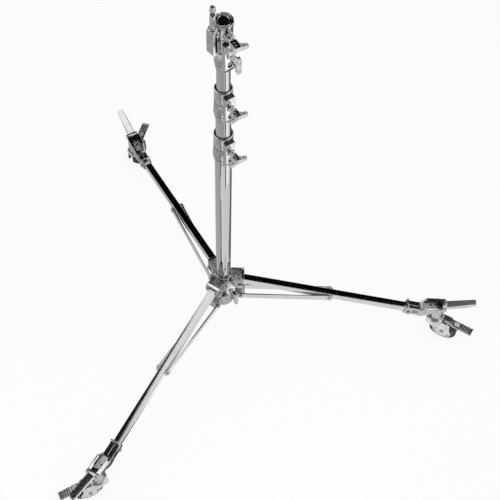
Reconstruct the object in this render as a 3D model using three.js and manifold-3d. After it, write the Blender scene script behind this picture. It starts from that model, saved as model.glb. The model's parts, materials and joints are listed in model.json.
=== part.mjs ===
// A roller stand for lights: a folding base of three legs on braked casters, and a column of
// three risers under a head that takes a 28 mm pin in its socket and carries a 16 mm spigot.
// Millimetres, +Z up. The origin is the centre of the flat underside of the column's foot, and
// the stand is drawn as it is used: base open, risers down, spigot up.

import * as THREE from "three";
import { mergeVertices } from "three/addons/utils/BufferGeometryUtils.js";
import Module from "manifold-3d";

const wasm = await Module();
wasm.setup();

// Fits and cuts
const slip = 0.3; // gap between pieces that touch, slide or turn on each other
const overrun = 3; // how far a cut runs past the face it opens

// Column: four tubes of one wall, each a sliding fit with a guide bush in the one below. They
// are sized outward from the socket, because a lamp's pin reaches down into the last riser.
const socketRadius = 14.3; // takes a 28.6 mm pin
const pinClearance = 0.1; // last riser's bore outside the socket's
const tubeWall = 1.6;
const telescopeGap = 1.4;
const footPlugFlange = 6;
const footPlugReach = 22; // top of the plug inside the base tube
const bushFlange = 9;
const bushPlug = 16;
const bushWall = 2.4;

// Clamp collars, one on the top end of each outer tube
const baseCollarTop = 1003;
const firstRiserStep = 203; // from the first collar's top to the second's
const secondRiserStep = 212;
const collarHeight = 127;
const collarThroat = 12; // length that grips the riser above the outer tube's end
const collarSkin = 3.2; // collar wall outside the tube
const collarRing = 3.9; // the top ring outside the tube
const collarFlare = 5.8; // the lower flare outside the tube
const collarFoot = 2; // the lower rim outside the tube
const collarRingHeight = 11;
const collarGrooveDrop = 54;
const collarGrooveWidth = 3;
const collarFlareDrop = 101;
const collarFlareBand = 5.5;
const collarRingEdge = 2.5; // chamfer round the top ring
const collarGrooveDepth = 0.8;
const collarMouth = 4; // depth of the open lead-in inside the top ring
const collarMouthFlare = 2;
const bossWidth = 31;
const bossReach = 13; // front face of the clamp boss outside the tube
const bossPocketWidth = 16;
const bossPocketHeight = 24;
const bossPocketDepth = 7;
const bossPocketRise = 3; // pocket's middle above the middle of the boss's lower part
const bossEdge = 3.2;
const keyDrop = 54; // clamp screw below the collar's top
const keyAzimuth = -57;

// T-handled clamp screws
const keyStemRadius = 7.5;
const keyStemLength = 12;
const keyBodyHalf = 10;
const keyBodyEnd = 25; // where the wings start to spread
const keySpan = 58;
const keyReach = 44; // outer corner of a wing from the boss
const keyWingRoot = 15; // length of the wing's end edge
const keyThickness = 15;
const keyWingTip = 12; // width of a wing at its outer end
const keyWingFlare = 3.8;
const keyPocket = 7;
const keyPocketDepth = 4;
const keyPocketStart = 4.4; // from the key's shoulder to its first pocket
const keyPocketPitch = 8.8;
const keyScrewRadius = 4;
const keyScrewLength = 9;

// Head with the 28 mm socket
const headHeight = 48;
const headRimWall = 12.2; // the rim outside the socket
const headRimStep = 2; // the rim outside the body
const headLip = 9;
const headStep = 2.4;
const socketChamfer = 1.6;
const socketSeatDrop = 16; // top of the last riser below the rim
const headBossReach = 12;
const headBossRadius = 13;
const headKeyRise = 16; // of the clamp boss above the head's foot
const headKeyAzimuth = -62;
const headSlotWidth = 3.2;
const headSlotAzimuth = 112;

// Side spigot and its holder
const spigotRadius = 8;
const spigotHeight = 72; // top of the spigot above the rim
const spigotWaist = 6;
const spigotWaistDrop = 15;
const spigotWaistLength = 11;
const spigotEdge = 2;
const spigotHeldLength = 28;
const spigotAzimuth = -137;
const spigotStandOff = 9; // spigot axis outside the head's rim
const holderWidth = 25;
const holderDepth = 22;
const holderDrop = 95; // bottom of the holder below the rim
const holderTopDrop = 10;
const holderCorner = 11;
const holderCapRadius = 13.5;
const slotHalf = 3.5;
const slotLength = 70;
const guideScrewRadius = 3;

// Upper hub, which slides on the base tube
const armTopRise = 38; // of the arms' tops above the legs' hinges
const upperHubSleeve = 66;
const upperHubWall = 6;
const upperHubCollar = 11; // the sleeve's ring above the arms
const upperHubCollarEdge = 3;
const armNose = 12; // end of an arm beyond the leg's hinge
const armWidth = 50;
const armPlate = 6;
const armNoseCut = 19; // the cheeks' lower front corner is cut back by this
const armCheekDrop = 58;
const armLip = 5.5;
const armClearance = 0.6; // between a cheek and the leg
const hubBossOut = 33; // face of the clamp boss outside the tube
const hubBossWidth = 32;
const hubBossHeight = 34;
const hubKeyRise = 6; // of the clamp boss's axis above the legs' hinges

// Legs: rectangular tube hinged under the arms
const legAzimuths = [116.93, -3.07, -123.07];
const legSlope = 14.8; // below the horizontal
const legHingeRadius = 60;
const legHingeZ = 140;
const legWidth = 25;
const legDepth = 28;
const legWall = 2;
const legCorner = 2.5;
const legInnerCorner = 1;
const legAxisRise = 8; // tube's axis above its hinge
const legBack = 10; // tube end inside the hinge
const legEndGap = 6.6; // the tube's outer end inside the housing's back
const hingeBoltRadius = 5;
const hingeBoltHead = 8.5;
const hingeBoltHeadHeight = 6;

// Lower hub at the foot, and the brace straps between it and the legs
const lowerHubHeight = 64;
const lowerHubWall = 10;
const lowerHubEdge = 3.5;
const lugHeight = 26;
const lugRoot = 26; // depth of a lug at the hub, below its pivot
const lugNeck = 6.5; // straight part of a lug's underside behind its pivot
const bracePivotRadius = 63;
const bracePivotZ = 52;
const braceOnLeg = 324.7; // pivot's distance from the leg's hinge, along the leg
const strapThickness = 5;
const strapHeight = 26;
const strapClearance = 3.5; // between a strap and the leg's side
const braceBoltRadius = 5;
const braceBoltHead = 8;
const braceBoltHeadHeight = 5;

// Caster housing on the end of each leg
const swivelRadius = 775; // swivel axis from the column axis
const sleeveLength = 54;
const sleeveOverhang = 12; // past the leg tube's outer end
const sleeveSide = 4.5;
const sleeveTop = 4;
const sleeveTab = 13;
const sleeveTabLength = 6;
const sleeveRibDepth = 1.4;
const sleeveRibShare = 0.5; // of the ribs' pitch that each groove takes
const sleeveBoltRadius = 7;
const sleeveBoltHead = 5;
const sleeveBoltDrop = 9; // clamp bolt below the leg's axis
const sleeveBoltBack = 36; // and inside the sleeve's outer end
const sleeveRibs = 4;
const housingRise = 38.82; // housing's top above the end of the leg's axis
const housingWidth = 48;
const housingBack = 76; // from the swivel axis towards the column
const housingRiseStart = 70;
const housingRiseEnd = 45;
const housingHeight = 83;
const housingShoulderDrop = 25.3; // the back's flat part below the housing's top
const housingKeel = 61; // where the underside turns up, behind the swivel axis
const neckRise = 23; // of the underside above the barrel's foot, behind the keel
const frameDepth = 28; // of the frame over the barrel
const barrelRadius = 23;
const windowLength = 56;
const windowWidth = 30;
const windowDepth = 20;
const windowBack = 32; // window's centre behind the swivel axis
const studRadius = 6;
const studHeight = 9;
const studBacks = [14, 31]; // lock plungers in the window, behind the swivel axis
const earSpan = 46;
const earRadius = 8;
const earForward = 16; // lever's pivot outside the swivel axis
const earDrop = 6; // lever's pivot below the housing's top

// Swivel lock lever
const leverLength = 112;
const leverRootWidth = 29;
const leverTipWidth = 22.5;
const leverThickness = 12;
const leverTilt = 15;
const leverPinRadius = 3;
const leverHubRadius = 6.5;

// Caster
const wheelRadius = 50;
const treadWidth = 26;
const treadDepth = 9;
const treadShoulder = 4.5;
const rimWidth = 23;
const rimWall = 4;
const webThickness = 7;
const wheelHubRadius = 13;
const wheelHubWidth = 31;
const axleRadius = 5;
const trail = 40;
const casterTurns = [-42, -24, -31]; // each fork's heading, from its leg's
const forkSheet = 3;
const forkSideRadius = 37;
const forkClearance = 1.5; // between a side sheet and the wheel's hub
const forkSkirt = 18.5; // lower rear corner of a side sheet above the axle
const forkBrow = 9; // top front corner of a side sheet in front of the pedal's pivot
const forkArcStart = 162; // angles round the axle between which a side sheet is round
const forkArcEnd = 405;
const raceRadius = 31;
const raceHeight = 9.4;
const crownDrop = 12; // fork's crown above the top of the wheel
const crownRear = 30;
const kingpinRadius = 6;
const kingpinHead = 10;
const kingpinCover = 6; // of the window's floor over the kingpin
const kingpinHeadHeight = 6;
const axleHead = 8;
const axleHeadHeight = 5;

// Brake pedal
const pedalStartGap = 3; // between the race and the pedal
const pedalEnd = 142;
const pedalWidth = 28;
const pedalThickness = 6;
const pedalPivot = 50;
const pedalPivotLift = 10; // above the top of the wheel
const pedalDrop = 15; // tip below the start
const pedalButton = 5;
const pedalRib = 2;
const pedalRibs = 4;
const pedalRibStart = 50.6; // from the pedal's pivot, as the button's start is
const pedalRibGap = 2.8; // between the last rib and the lip
const pedalButtonStart = 20.2;
const pedalButtonLength = 21.2;
const pedalLip = 4;
const pedalLipLength = 6.4;
const pedalLipSlant = 1.8;
const pedalPinRadius = 3;

// Facets
const tubeSides = 18;
const roundSides = 16;
const wheelSides = 16;
const boltSides = 8;
const hexSides = 6;
const cornerSteps = 1; // half the facets of a small round corner
const windowSteps = 2; // of a window's or a pocket's round end
const arcSteps = 3; // and of a wide arc

// Sizes that follow from the ones above
const stepIn = tubeWall + telescopeGap;
const lastRiserRadius = socketRadius + pinClearance + tubeWall;
const tubeRadii = [3, 2, 1, 0].map((k) => lastRiserRadius + k * stepIn);
const columnRadius = tubeRadii[0];
const collarTops = [
  baseCollarTop,
  baseCollarTop + firstRiserStep,
  baseCollarTop + firstRiserStep + secondRiserStep,
];
const rim = collarTops[2] + slip + headHeight;
const headRadius = socketRadius + headRimWall;
const headBodyRadius = headRadius - headRimStep;
const headKeyDrop = headHeight - headKeyRise;
const spigotOffset = headRadius + spigotStandOff;
const armReach = legHingeRadius + armNose;
const hubBossReach = columnRadius + hubBossOut;
const upperHubTop = legHingeZ + armTopRise;
const hubKeyZ = legHingeZ + hubKeyRise;
const armGap = legWidth + 2 * armClearance;
const strapGap = legWidth / 2 + strapClearance; // inner face of a strap from the leg's middle
const lugWidth = 2 * (strapGap - slip);
const forkGap = wheelHubWidth + 2 * forkClearance;
const pedalStart = raceRadius + pedalStartGap;
const pedalRibEnd = pedalEnd - pedalPivot - pedalLipLength - pedalRibGap;
const lowerHubRadius = columnRadius + lowerHubWall;

// The leg ends inside the housing's back, and the stand's height follows from its slope and
// from the housing and caster below it.
const slope = THREE.MathUtils.degToRad(legSlope);
const legRun = swivelRadius - housingBack - legEndGap - legHingeRadius;
const legLength = (legRun - legAxisRise * Math.sin(slope)) / Math.cos(slope);
const legEndZ = legHingeZ - legLength * Math.sin(slope) + legAxisRise * Math.cos(slope);
const sleeveEnd = legLength + sleeveOverhang;
const sleeveStart = sleeveEnd - sleeveLength;
const housingTop = legEndZ + housingRise;
const housingBottom = housingTop - housingHeight;
const raceTop = housingBottom - slip;
const crownTop = raceTop - raceHeight / 2;
const wheelTop = crownTop - crownDrop;
const floorZ = wheelTop - 2 * wheelRadius;
const housingShoulderZ = housingTop - housingShoulderDrop;

// Materials
const metal = (color, roughness) =>
  new THREE.MeshStandardMaterial({ color, roughness, metalness: 1 });
const chrome = metal(0xd9dcdf, 0.08);
const satinCast = metal(0x8b9094, 0.45);
const chromeCast = metal(0xc4c8cb, 0.18);
const pressedSteel = metal(0xa4a9ac, 0.25);
const nylon = new THREE.MeshStandardMaterial({ color: 0x1d1e20, roughness: 0.6 });
const rubber = new THREE.MeshStandardMaterial({ color: 0x2a2b2d, roughness: 0.85 });

// Turns a closed geometry into a solid that can be joined and cut.
function solid(geometry) {
  const bare = geometry.clone();
  bare.deleteAttribute("normal");
  bare.deleteAttribute("uv");
  const merged = mergeVertices(bare, slip / 1000);
  return new wasm.Manifold(
    new wasm.Mesh({
      numProp: 3,
      vertProperties: Float32Array.from(merged.attributes.position.array),
      triVerts: Uint32Array.from(merged.index.array),
    }),
  );
}

// Turns a solid back into a geometry with flat facets.
function geometryOf(body) {
  const mesh = body.getMesh();
  const shared = new THREE.BufferGeometry();
  shared.setAttribute("position", new THREE.BufferAttribute(mesh.vertProperties, 3));
  shared.setIndex(new THREE.BufferAttribute(mesh.triVerts, 1));
  const flat = shared.toNonIndexed();
  flat.computeVertexNormals();
  return flat;
}

// Adds a named piece to the group that carries it.
function piece(parent, name, body, material) {
  const mesh = new THREE.Mesh(geometryOf(body), material);
  mesh.name = name;
  parent.add(mesh);
  return mesh;
}

const radians = THREE.MathUtils.degToRad;

// A body turned about Z from [radius, height] points; the outline closes on itself or on the axis.
function turned(points, sides) {
  const outline = points.map(([r, z]) => new THREE.Vector2(r, z));
  const closes = outline[0].x > 0 || outline.at(-1).x > 0;
  if (closes) outline.push(outline[0].clone());
  if (THREE.ShapeUtils.area(outline) < 0) outline.reverse();
  return new THREE.LatheGeometry(outline, sides).rotateX(Math.PI / 2);
}

// A round bar along Z.
function barZ(radius, low, high, sides) {
  return new THREE.CylinderGeometry(radius, radius, high - low, sides)
    .rotateX(Math.PI / 2)
    .translate(0, 0, (low + high) / 2);
}

// A round bar along X, at the height z.
function barX(radius, low, high, z, sides) {
  return barZ(radius, low, high, sides).rotateY(Math.PI / 2).translate(0, 0, z);
}

// A round bar along Y, through (x, z).
function barY(radius, low, high, x, z, sides) {
  return barZ(radius, low, high, sides).rotateX(-Math.PI / 2).translate(x, 0, z);
}

// Radius of a faceted hole that is clear of a round piece all the way round.
function holeFor(pieceRadius, sides = boltSides) {
  return (pieceRadius + slip) / Math.cos(Math.PI / sides);
}

// A box between two corners.
function box(x0, x1, y0, y1, z0, z1) {
  return new THREE.BoxGeometry(x1 - x0, y1 - y0, z1 - z0).translate(
    (x0 + x1) / 2,
    (y0 + y1) / 2,
    (z0 + z1) / 2,
  );
}

// A plate with its outline in the XY plane, between two heights.
function planPlate(shape, low, high, steps = cornerSteps) {
  const geometry = new THREE.ExtrudeGeometry(shape, {
    depth: high - low,
    bevelEnabled: false,
    curveSegments: steps,
  });
  return geometry.translate(0, 0, low);
}

// A plate with its outline in the XZ plane, between two places along Y.
function sidePlate(shape, low, high, steps = cornerSteps) {
  return planPlate(shape, -high, -low, steps).rotateX(Math.PI / 2);
}

// A closed outline through [x, y] points.
function outline(points) {
  return new THREE.Shape(points.map(([x, y]) => new THREE.Vector2(x, y)));
}

// A rectangle with round corners, centred on (x, y).
function roundRectangle(width, height, radius, x = 0, y = 0) {
  const shape = new THREE.Shape();
  const [w, h] = [width / 2 - radius, height / 2 - radius];
  shape.absarc(x + w, y + h, radius, 0, Math.PI / 2);
  shape.absarc(x - w, y + h, radius, Math.PI / 2, Math.PI);
  shape.absarc(x - w, y - h, radius, Math.PI, (3 * Math.PI) / 2);
  shape.absarc(x + w, y - h, radius, (3 * Math.PI) / 2, 2 * Math.PI);
  return shape;
}

// A tube about Z.
function tube(radius, wall, low, high) {
  return turned(
    [
      [radius - wall, low],
      [radius, low],
      [radius, high],
      [radius - wall, high],
    ],
    tubeSides,
  );
}

const stand = new THREE.Group();

// Foot plug: closes the base tube, flush with the lower hub, and stops the risers.
function footPlug() {
  const inside = columnRadius - tubeWall - slip;
  return solid(
    turned(
      [
        [0, 0],
        [columnRadius, 0],
        [columnRadius, footPlugFlange],
        [inside, footPlugFlange],
        [inside, footPlugReach],
        [0, footPlugReach],
      ],
      tubeSides,
    ),
  );
}
piece(stand, "foot_plug", footPlug(), nylon);
piece(
  stand,
  "base_tube",
  solid(
    tube(
      columnRadius,
      tubeWall,
      footPlugFlange + slip,
      collarTops[0] - collarThroat - slip,
    ),
  ),
  chrome,
);

// Guide bush: a flanged plug in a riser's lower end that slides in the tube around it.
function guideBush(riserRadius, low) {
  const outside = riserRadius + telescopeGap - slip;
  const inside = riserRadius - tubeWall - slip;
  return solid(
    turned(
      [
        [inside - bushWall, low],
        [outside, low],
        [outside, low + bushFlange],
        [inside, low + bushFlange],
        [inside, low + bushFlange + bushPlug],
        [inside - bushWall, low + bushFlange + bushPlug],
      ],
      tubeSides,
    ),
  );
}

// Risers nest: each bush stands on the one outside it, the first on the foot plug.
const riserTops = [
  collarTops[1] - collarThroat - slip,
  collarTops[2] - collarThroat - slip,
  rim - socketSeatDrop - slip,
];
riserTops.forEach((top, k) => {
  const radius = tubeRadii[k + 1];
  const low = footPlugReach + slip + k * (bushFlange + bushPlug + slip);
  piece(stand, `riser_${k + 1}_bush`, guideBush(radius, low), nylon);
  const riser = tube(radius, tubeWall, low + bushFlange + slip, top);
  piece(stand, `riser_${k + 1}`, solid(riser), chrome);
});

// Clamp collar: a cast sleeve on the tube's top end with a tall boss for the clamp screw.
// It is drawn with its top at zero and its boss along +X.
function collar(tubeRadius, riserRadius) {
  const skin = tubeRadius + collarSkin;
  const ring = tubeRadius + collarRing;
  const flare = tubeRadius + collarFlare;
  const foot = tubeRadius + collarFoot;
  const groove = skin - collarGrooveDepth;
  const seat = tubeRadius + slip;
  const throat = riserRadius + slip;
  const mouth = throat + collarMouthFlare;
  const sleeve = turned(
    [
      [seat, -collarHeight],
      [foot, -collarHeight],
      [flare, -collarFlareDrop],
      [flare, -collarFlareDrop + collarFlareBand],
      [skin, -collarGrooveDrop - collarGrooveWidth],
      [groove, -collarGrooveDrop - collarGrooveWidth],
      [groove, -collarGrooveDrop],
      [skin, -collarGrooveDrop],
      [skin, -collarRingHeight],
      [ring, -collarRingHeight],
      [ring, -collarRingEdge],
      [ring - collarRingEdge, 0],
      [mouth, 0],
      [throat, -collarMouth],
      [throat, -collarThroat],
      [seat, -collarThroat],
    ],
    tubeSides,
  );
  const front = tubeRadius + bossReach;
  const inner = tubeRadius - tubeWall;
  const bossTop = -collarRingHeight - collarGrooveWidth;
  const boss = outline([
    [inner, bossTop],
    [front - bossEdge, bossTop],
    [front, bossTop - bossEdge],
    [front, -collarFlareDrop],
    [tubeRadius + collarSkin, -collarHeight],
    [inner, -collarHeight],
  ]);
  const pocketZ = bossPocketRise - (keyDrop + collarHeight) / 2;
  const pocket = planPlate(
    roundRectangle(bossPocketHeight, bossPocketWidth, bossPocketWidth / 2 - slip),
    0,
    bossPocketDepth + overrun,
    windowSteps,
  )
    .rotateY(Math.PI / 2)
    .translate(front - bossPocketDepth, 0, pocketZ);
  const screwHole = barX(
    holeFor(keyScrewRadius),
    front - keyScrewLength - slip,
    front + overrun,
    -keyDrop,
    boltSides,
  );
  const bore = barZ(seat, -collarHeight - overrun, -collarThroat, tubeSides);
  return solid(sleeve)
    .add(
      solid(sidePlate(boss, -bossWidth / 2, bossWidth / 2)).subtract(solid(bore)),
    )
    .subtract(solid(pocket))
    .subtract(solid(screwHole));
}

// T-handled clamp screw, drawn with its boss's face at x = 0 and its wings along Y.
function clampKey() {
  const half = keySpan / 2;
  const outer = keyReach - keyWingFlare;
  const blade = outline([
    [keyStemLength - slip, -keyBodyHalf],
    [keyBodyEnd, -keyBodyHalf],
    [keyReach - keyWingRoot, -half + keyWingFlare],
    [keyReach - keyWingTip, -half],
    [keyReach, -half],
    [outer, -keyBodyHalf],
    [outer, keyBodyHalf],
    [keyReach, half],
    [keyReach - keyWingTip, half],
    [keyReach - keyWingRoot, half - keyWingFlare],
    [keyBodyEnd, keyBodyHalf],
    [keyStemLength - slip, keyBodyHalf],
  ]);
  const handle = planPlate(blade, -keyThickness / 2, keyThickness / 2);
  const stem = barX(keyStemRadius, slip, keyStemLength, 0, boltSides);
  const screw = barX(keyScrewRadius, -keyScrewLength, keyStemLength, 0, boltSides);
  let key = solid(handle).add(solid(stem)).add(solid(screw));
  const firstPocket = keyStemLength + keyPocketStart;
  [firstPocket, firstPocket + keyPocketPitch].forEach((x) => {
    const top = keyThickness / 2;
    const side = keyPocket / 2;
    const pocket = box(
      x,
      x + keyPocket,
      -side,
      side,
      top - keyPocketDepth,
      top + overrun,
    );
    key = key.subtract(solid(pocket));
  });
  return key;
}

// The third collar's key is left with its wings upright.
const keyRolls = [0, 0, 90];
collarTops.forEach((top, k) => {
  const group = new THREE.Group();
  group.position.z = top;
  group.rotation.z = radians(keyAzimuth);
  stand.add(group);
  piece(group, `collar_${k + 1}`, collar(tubeRadii[k], tubeRadii[k + 1]), chromeCast);
  const key = piece(group, `collar_${k + 1}_key`, clampKey(), chromeCast);
  key.position.set(tubeRadii[k] + bossReach, 0, -keyDrop);
  key.rotation.x = radians(keyRolls[k]);
});

// Head: the socket casting on the last riser, its rim split by a narrow slot.
function head() {
  const seat = tubeRadii[3] + slip;
  const bottom = -headHeight;
  const body = turned(
    [
      [seat, bottom],
      [headBodyRadius - headStep, bottom],
      [headBodyRadius, bottom + headStep],
      [headBodyRadius, -headLip - headStep],
      [headRadius, -headLip],
      [headRadius, -headStep],
      [headRadius - headStep / 2, -headStep / 2],
      [headRadius - 2 * headStep, -headStep / 2],
      [headRadius - 2 * headStep, 0],
      [socketRadius + socketChamfer, 0],
      [socketRadius, -socketChamfer],
      [socketRadius, -socketSeatDrop],
      [seat, -socketSeatDrop],
    ],
    tubeSides,
  );
  const slot = box(
    socketRadius - overrun,
    headRadius + overrun,
    -headSlotWidth / 2,
    headSlotWidth / 2,
    -headLip,
    overrun,
  ).rotateZ(radians(headSlotAzimuth));
  const face = headBodyRadius + headBossReach;
  const boss = barX(headBossRadius, socketRadius + slip, face, -headKeyDrop, roundSides);
  const bore = barZ(seat, bottom - overrun, -socketSeatDrop, tubeSides);
  const screwHole = barX(
    holeFor(keyScrewRadius),
    face - keyScrewLength - slip,
    face + overrun,
    -headKeyDrop,
    boltSides,
  );
  const turn = (geometry) => solid(geometry.rotateZ(radians(headKeyAzimuth)));
  return solid(body)
    .add(turn(boss).subtract(solid(bore)))
    .subtract(solid(slot))
    .subtract(turn(screwHole));
}
const headGroup = new THREE.Group();
headGroup.position.z = rim;
stand.add(headGroup);
piece(headGroup, "head", head(), chromeCast);
const headKeyGroup = new THREE.Group();
headKeyGroup.rotation.z = radians(headKeyAzimuth);
headGroup.add(headKeyGroup);
const headKey = piece(headKeyGroup, "head_key", clampKey(), chromeCast);
headKey.position.set(headBodyRadius + headBossReach, 0, -headKeyDrop);
headKey.rotation.x = radians(keyRolls[0]);

// Spigot holder: a block on the head's side that the spigot slides in, open along one side
// where the spigot's guide screw runs. It is drawn with the spigot's axis on Z.
function spigotHolder() {
  const [back, front] = [-holderDepth / 2, holderDepth / 2];
  const shape = new THREE.Shape();
  shape.moveTo(back, -holderTopDrop);
  shape.lineTo(back, -holderDrop);
  shape.lineTo(front - holderCorner, -holderDrop);
  shape.absarc(
    front - holderCorner,
    -holderDrop + holderCorner,
    holderCorner,
    -Math.PI / 2,
    0,
  );
  shape.lineTo(front, -holderTopDrop);
  const cap = barZ(holderCapRadius, -holderTopDrop - overrun, 0, roundSides);
  const bore = barZ(
    spigotRadius + slip,
    -holderDrop - overrun,
    overrun,
    roundSides,
  );
  const slot = planPlate(
    roundRectangle(2 * slotHalf, slotLength, slotHalf - slip),
    0,
    holderWidth,
  )
    .rotateX(-Math.PI / 2)
    .translate(0, 0, -holderTopDrop - slotLength / 2 - slotHalf);
  const headRoom = barZ(holeFor(headRadius, tubeSides), -headHeight, overrun, tubeSides);
  headRoom.translate(-spigotOffset, 0, 0);
  const block = sidePlate(shape, -holderWidth / 2, holderWidth / 2);
  return solid(block)
    .add(solid(cap))
    .subtract(solid(headRoom))
    .subtract(solid(bore))
    .subtract(solid(slot));
}

// Spigot: a 16 mm stud with a waist for the lamp head's screw, and its guide screw.
function spigot() {
  const top = spigotHeight;
  const waistTop = top - spigotWaistDrop;
  const waistLow = waistTop - spigotWaistLength;
  const slope = spigotRadius - spigotWaist;
  const stud = turned(
    [
      [0, top],
      [spigotRadius - spigotEdge, top],
      [spigotRadius, top - spigotEdge],
      [spigotRadius, waistTop + slope],
      [spigotWaist, waistTop],
      [spigotWaist, waistLow],
      [spigotRadius, waistLow - slope],
      [spigotRadius, -spigotHeldLength],
      [0, -spigotHeldLength],
    ],
    roundSides,
  );
  const screw = barY(
    guideScrewRadius,
    0,
    holderWidth / 2,
    0,
    -holderTopDrop - 2 * slotHalf,
    boltSides,
  );
  return solid(stud).add(solid(screw));
}
const spigotGroup = new THREE.Group();
spigotGroup.rotation.z = radians(spigotAzimuth);
headGroup.add(spigotGroup);
const holder = piece(spigotGroup, "spigot_holder", spigotHolder(), chromeCast);
holder.position.x = spigotOffset;
const stud = piece(spigotGroup, "spigot", spigot(), chrome);
stud.position.x = spigotOffset;

// The hub's clamp screw points between the second and third legs.
const hubKeyAzimuth = (legAzimuths[1] + legAzimuths[2]) / 2;

// Upper hub: a sleeve that slides on the base tube, with an arm over each leg and a clamp boss.
function hubArm() {
  const top = upperHubTop;
  const gap = armGap / 2;
  const inner = columnRadius + slip;
  const cheekLow = top - armCheekDrop;
  const nose = armReach - armNoseCut;
  const cheek = outline([
    [inner, top],
    [armReach, top],
    [armReach, legHingeZ],
    [nose, cheekLow],
    [inner, cheekLow],
  ]);
  const under = top - armPlate;
  const arm = solid(sidePlate(cheek, -armWidth / 2, armWidth / 2));
  const channel = box(
    columnRadius + upperHubWall,
    armReach + overrun,
    -gap,
    gap,
    cheekLow - overrun,
    under,
  );
  const lip = barY(armLip, -armWidth / 2, armWidth / 2, armReach - armLip, top, boltSides);
  const boltHole = barY(
    holeFor(hingeBoltRadius),
    -armWidth,
    armWidth,
    legHingeRadius,
    legHingeZ,
    boltSides,
  );
  return arm.add(solid(lip)).subtract(solid(channel)).subtract(solid(boltHole));
}

function upperHub() {
  const low = upperHubTop - upperHubSleeve;
  const bore = columnRadius + slip;
  const outer = columnRadius + upperHubWall;
  let hub = solid(
    turned(
      [
        [bore, low],
        [outer, low],
        [outer, upperHubTop + upperHubCollar - upperHubCollarEdge],
        [outer - upperHubCollarEdge, upperHubTop + upperHubCollar],
        [bore, upperHubTop + upperHubCollar],
      ],
      tubeSides,
    ),
  );
  const roomTop = upperHubTop + upperHubCollar + overrun;
  const tubeRoom = barZ(bore, low - overrun, roomTop, tubeSides);
  legAzimuths.forEach((azimuth) => {
    const arm = new THREE.Mesh(geometryOf(hubArm()));
    hub = hub.add(solid(arm.geometry.rotateZ(radians(azimuth))));
  });
  const boss = box(
    0,
    hubBossReach,
    -hubBossWidth / 2,
    hubBossWidth / 2,
    hubKeyZ - hubBossHeight / 2,
    hubKeyZ + hubBossHeight / 2,
  ).rotateZ(radians(hubKeyAzimuth));
  const screwHole = barX(
    holeFor(keyScrewRadius),
    hubBossReach - keyScrewLength - slip,
    hubBossReach + overrun,
    hubKeyZ,
    boltSides,
  ).rotateZ(radians(hubKeyAzimuth));
  return hub.add(solid(boss)).subtract(solid(screwHole)).subtract(solid(tubeRoom));
}
piece(stand, "upper_hub", upperHub(), satinCast);
const hubKeyGroup = new THREE.Group();
hubKeyGroup.rotation.z = radians(hubKeyAzimuth);
stand.add(hubKeyGroup);
const hubKey = piece(hubKeyGroup, "upper_hub_key", clampKey(), chromeCast);
hubKey.position.set(hubBossReach, 0, hubKeyZ);
hubKey.rotation.x = radians(keyRolls[2]);

// Lower hub: the casting at the column's foot, with a lug between each pair of straps.
function lowerHub() {
  const bore = columnRadius + slip;
  const edge = lowerHubEdge;
  let hub = solid(
    turned(
      [
        [bore, 0],
        [lowerHubRadius - edge, 0],
        [lowerHubRadius, edge],
        [lowerHubRadius, lowerHubHeight - 2 * edge],
        [bore + edge, lowerHubHeight],
        [bore, lowerHubHeight],
      ],
      tubeSides,
    ),
  );
  const round = lugHeight / 2;
  legAzimuths.forEach((azimuth) => {
    const shape = new THREE.Shape();
    shape.moveTo(bore + edge, bracePivotZ - lugRoot);
    shape.lineTo(bracePivotRadius - lugNeck, bracePivotZ - round);
    shape.absarc(bracePivotRadius, bracePivotZ, round, -Math.PI / 2, Math.PI / 2);
    shape.lineTo(bore + edge, bracePivotZ + round - slip);
    const lug = sidePlate(shape, -lugWidth / 2, lugWidth / 2, arcSteps);
    const hole = barY(
      holeFor(braceBoltRadius),
      -lugWidth,
      lugWidth,
      bracePivotRadius,
      bracePivotZ,
      boltSides,
    );
    const turn = (geometry) => solid(geometry.rotateZ(radians(azimuth)));
    hub = hub.add(turn(lug)).subtract(turn(hole));
  });
  return hub;
}
piece(stand, "lower_hub", lowerHub(), satinCast);

// A bolt along Y through (0, 0), round-headed at one end and with a hexagon nut at the other.
function bolt(radius, grip, endRadius, endHeight) {
  const shank = barY(radius, -grip, grip, 0, 0, boltSides);
  const headEnd = barY(endRadius, grip - slip, grip + endHeight, 0, 0, boltSides);
  const nut = barY(endRadius, -grip - endHeight, -grip + slip, 0, 0, hexSides);
  return solid(shank).add(solid(headEnd)).add(solid(nut));
}

// Brace strap on one side of a leg: it turns on the lower hub's bolt, and its outer end carries
// the head and spacer of the bolt that pins it to the leg. It is drawn along +X, inner face at
// y = 0, for the side where y grows away from the leg.
function strap(length) {
  const round = strapHeight / 2;
  const shape = new THREE.Shape();
  shape.absarc(length, 0, round, -Math.PI / 2, Math.PI / 2);
  shape.absarc(0, 0, round, Math.PI / 2, (3 * Math.PI) / 2);
  const hole = barY(
    holeFor(braceBoltRadius),
    -strapThickness,
    2 * strapThickness,
    0,
    0,
    boltSides,
  );
  const spacer = barY(
    braceBoltHead,
    legWidth / 2 - strapGap + slip,
    strapThickness + braceBoltHeadHeight,
    length,
    0,
    boltSides,
  );
  const plate = sidePlate(shape, 0, strapThickness, windowSteps);
  return solid(plate).subtract(solid(hole)).add(solid(spacer));
}

const outerPivotX =
  legHingeRadius + braceOnLeg * Math.cos(slope) + legAxisRise * Math.sin(slope);
const outerPivotZ =
  legHingeZ - braceOnLeg * Math.sin(slope) + legAxisRise * Math.cos(slope);
const strapRun = outerPivotX - bracePivotRadius;
const strapRise = outerPivotZ - bracePivotZ;
const strapLength = Math.hypot(strapRun, strapRise);

// Leg tube, drawn along +X from its hinge at the origin.
function legTube() {
  const across = roundRectangle(legDepth, legWidth, legCorner);
  across.holes.push(
    roundRectangle(legDepth - 2 * legWall, legWidth - 2 * legWall, legInnerCorner),
  );
  const length = planPlate(across, -legBack, legLength);
  length.rotateY(Math.PI / 2).translate(0, 0, legAxisRise);
  const hole = barY(holeFor(hingeBoltRadius), -legWidth, legWidth, 0, 0, boltSides);
  return solid(length).subtract(solid(hole));
}

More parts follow.
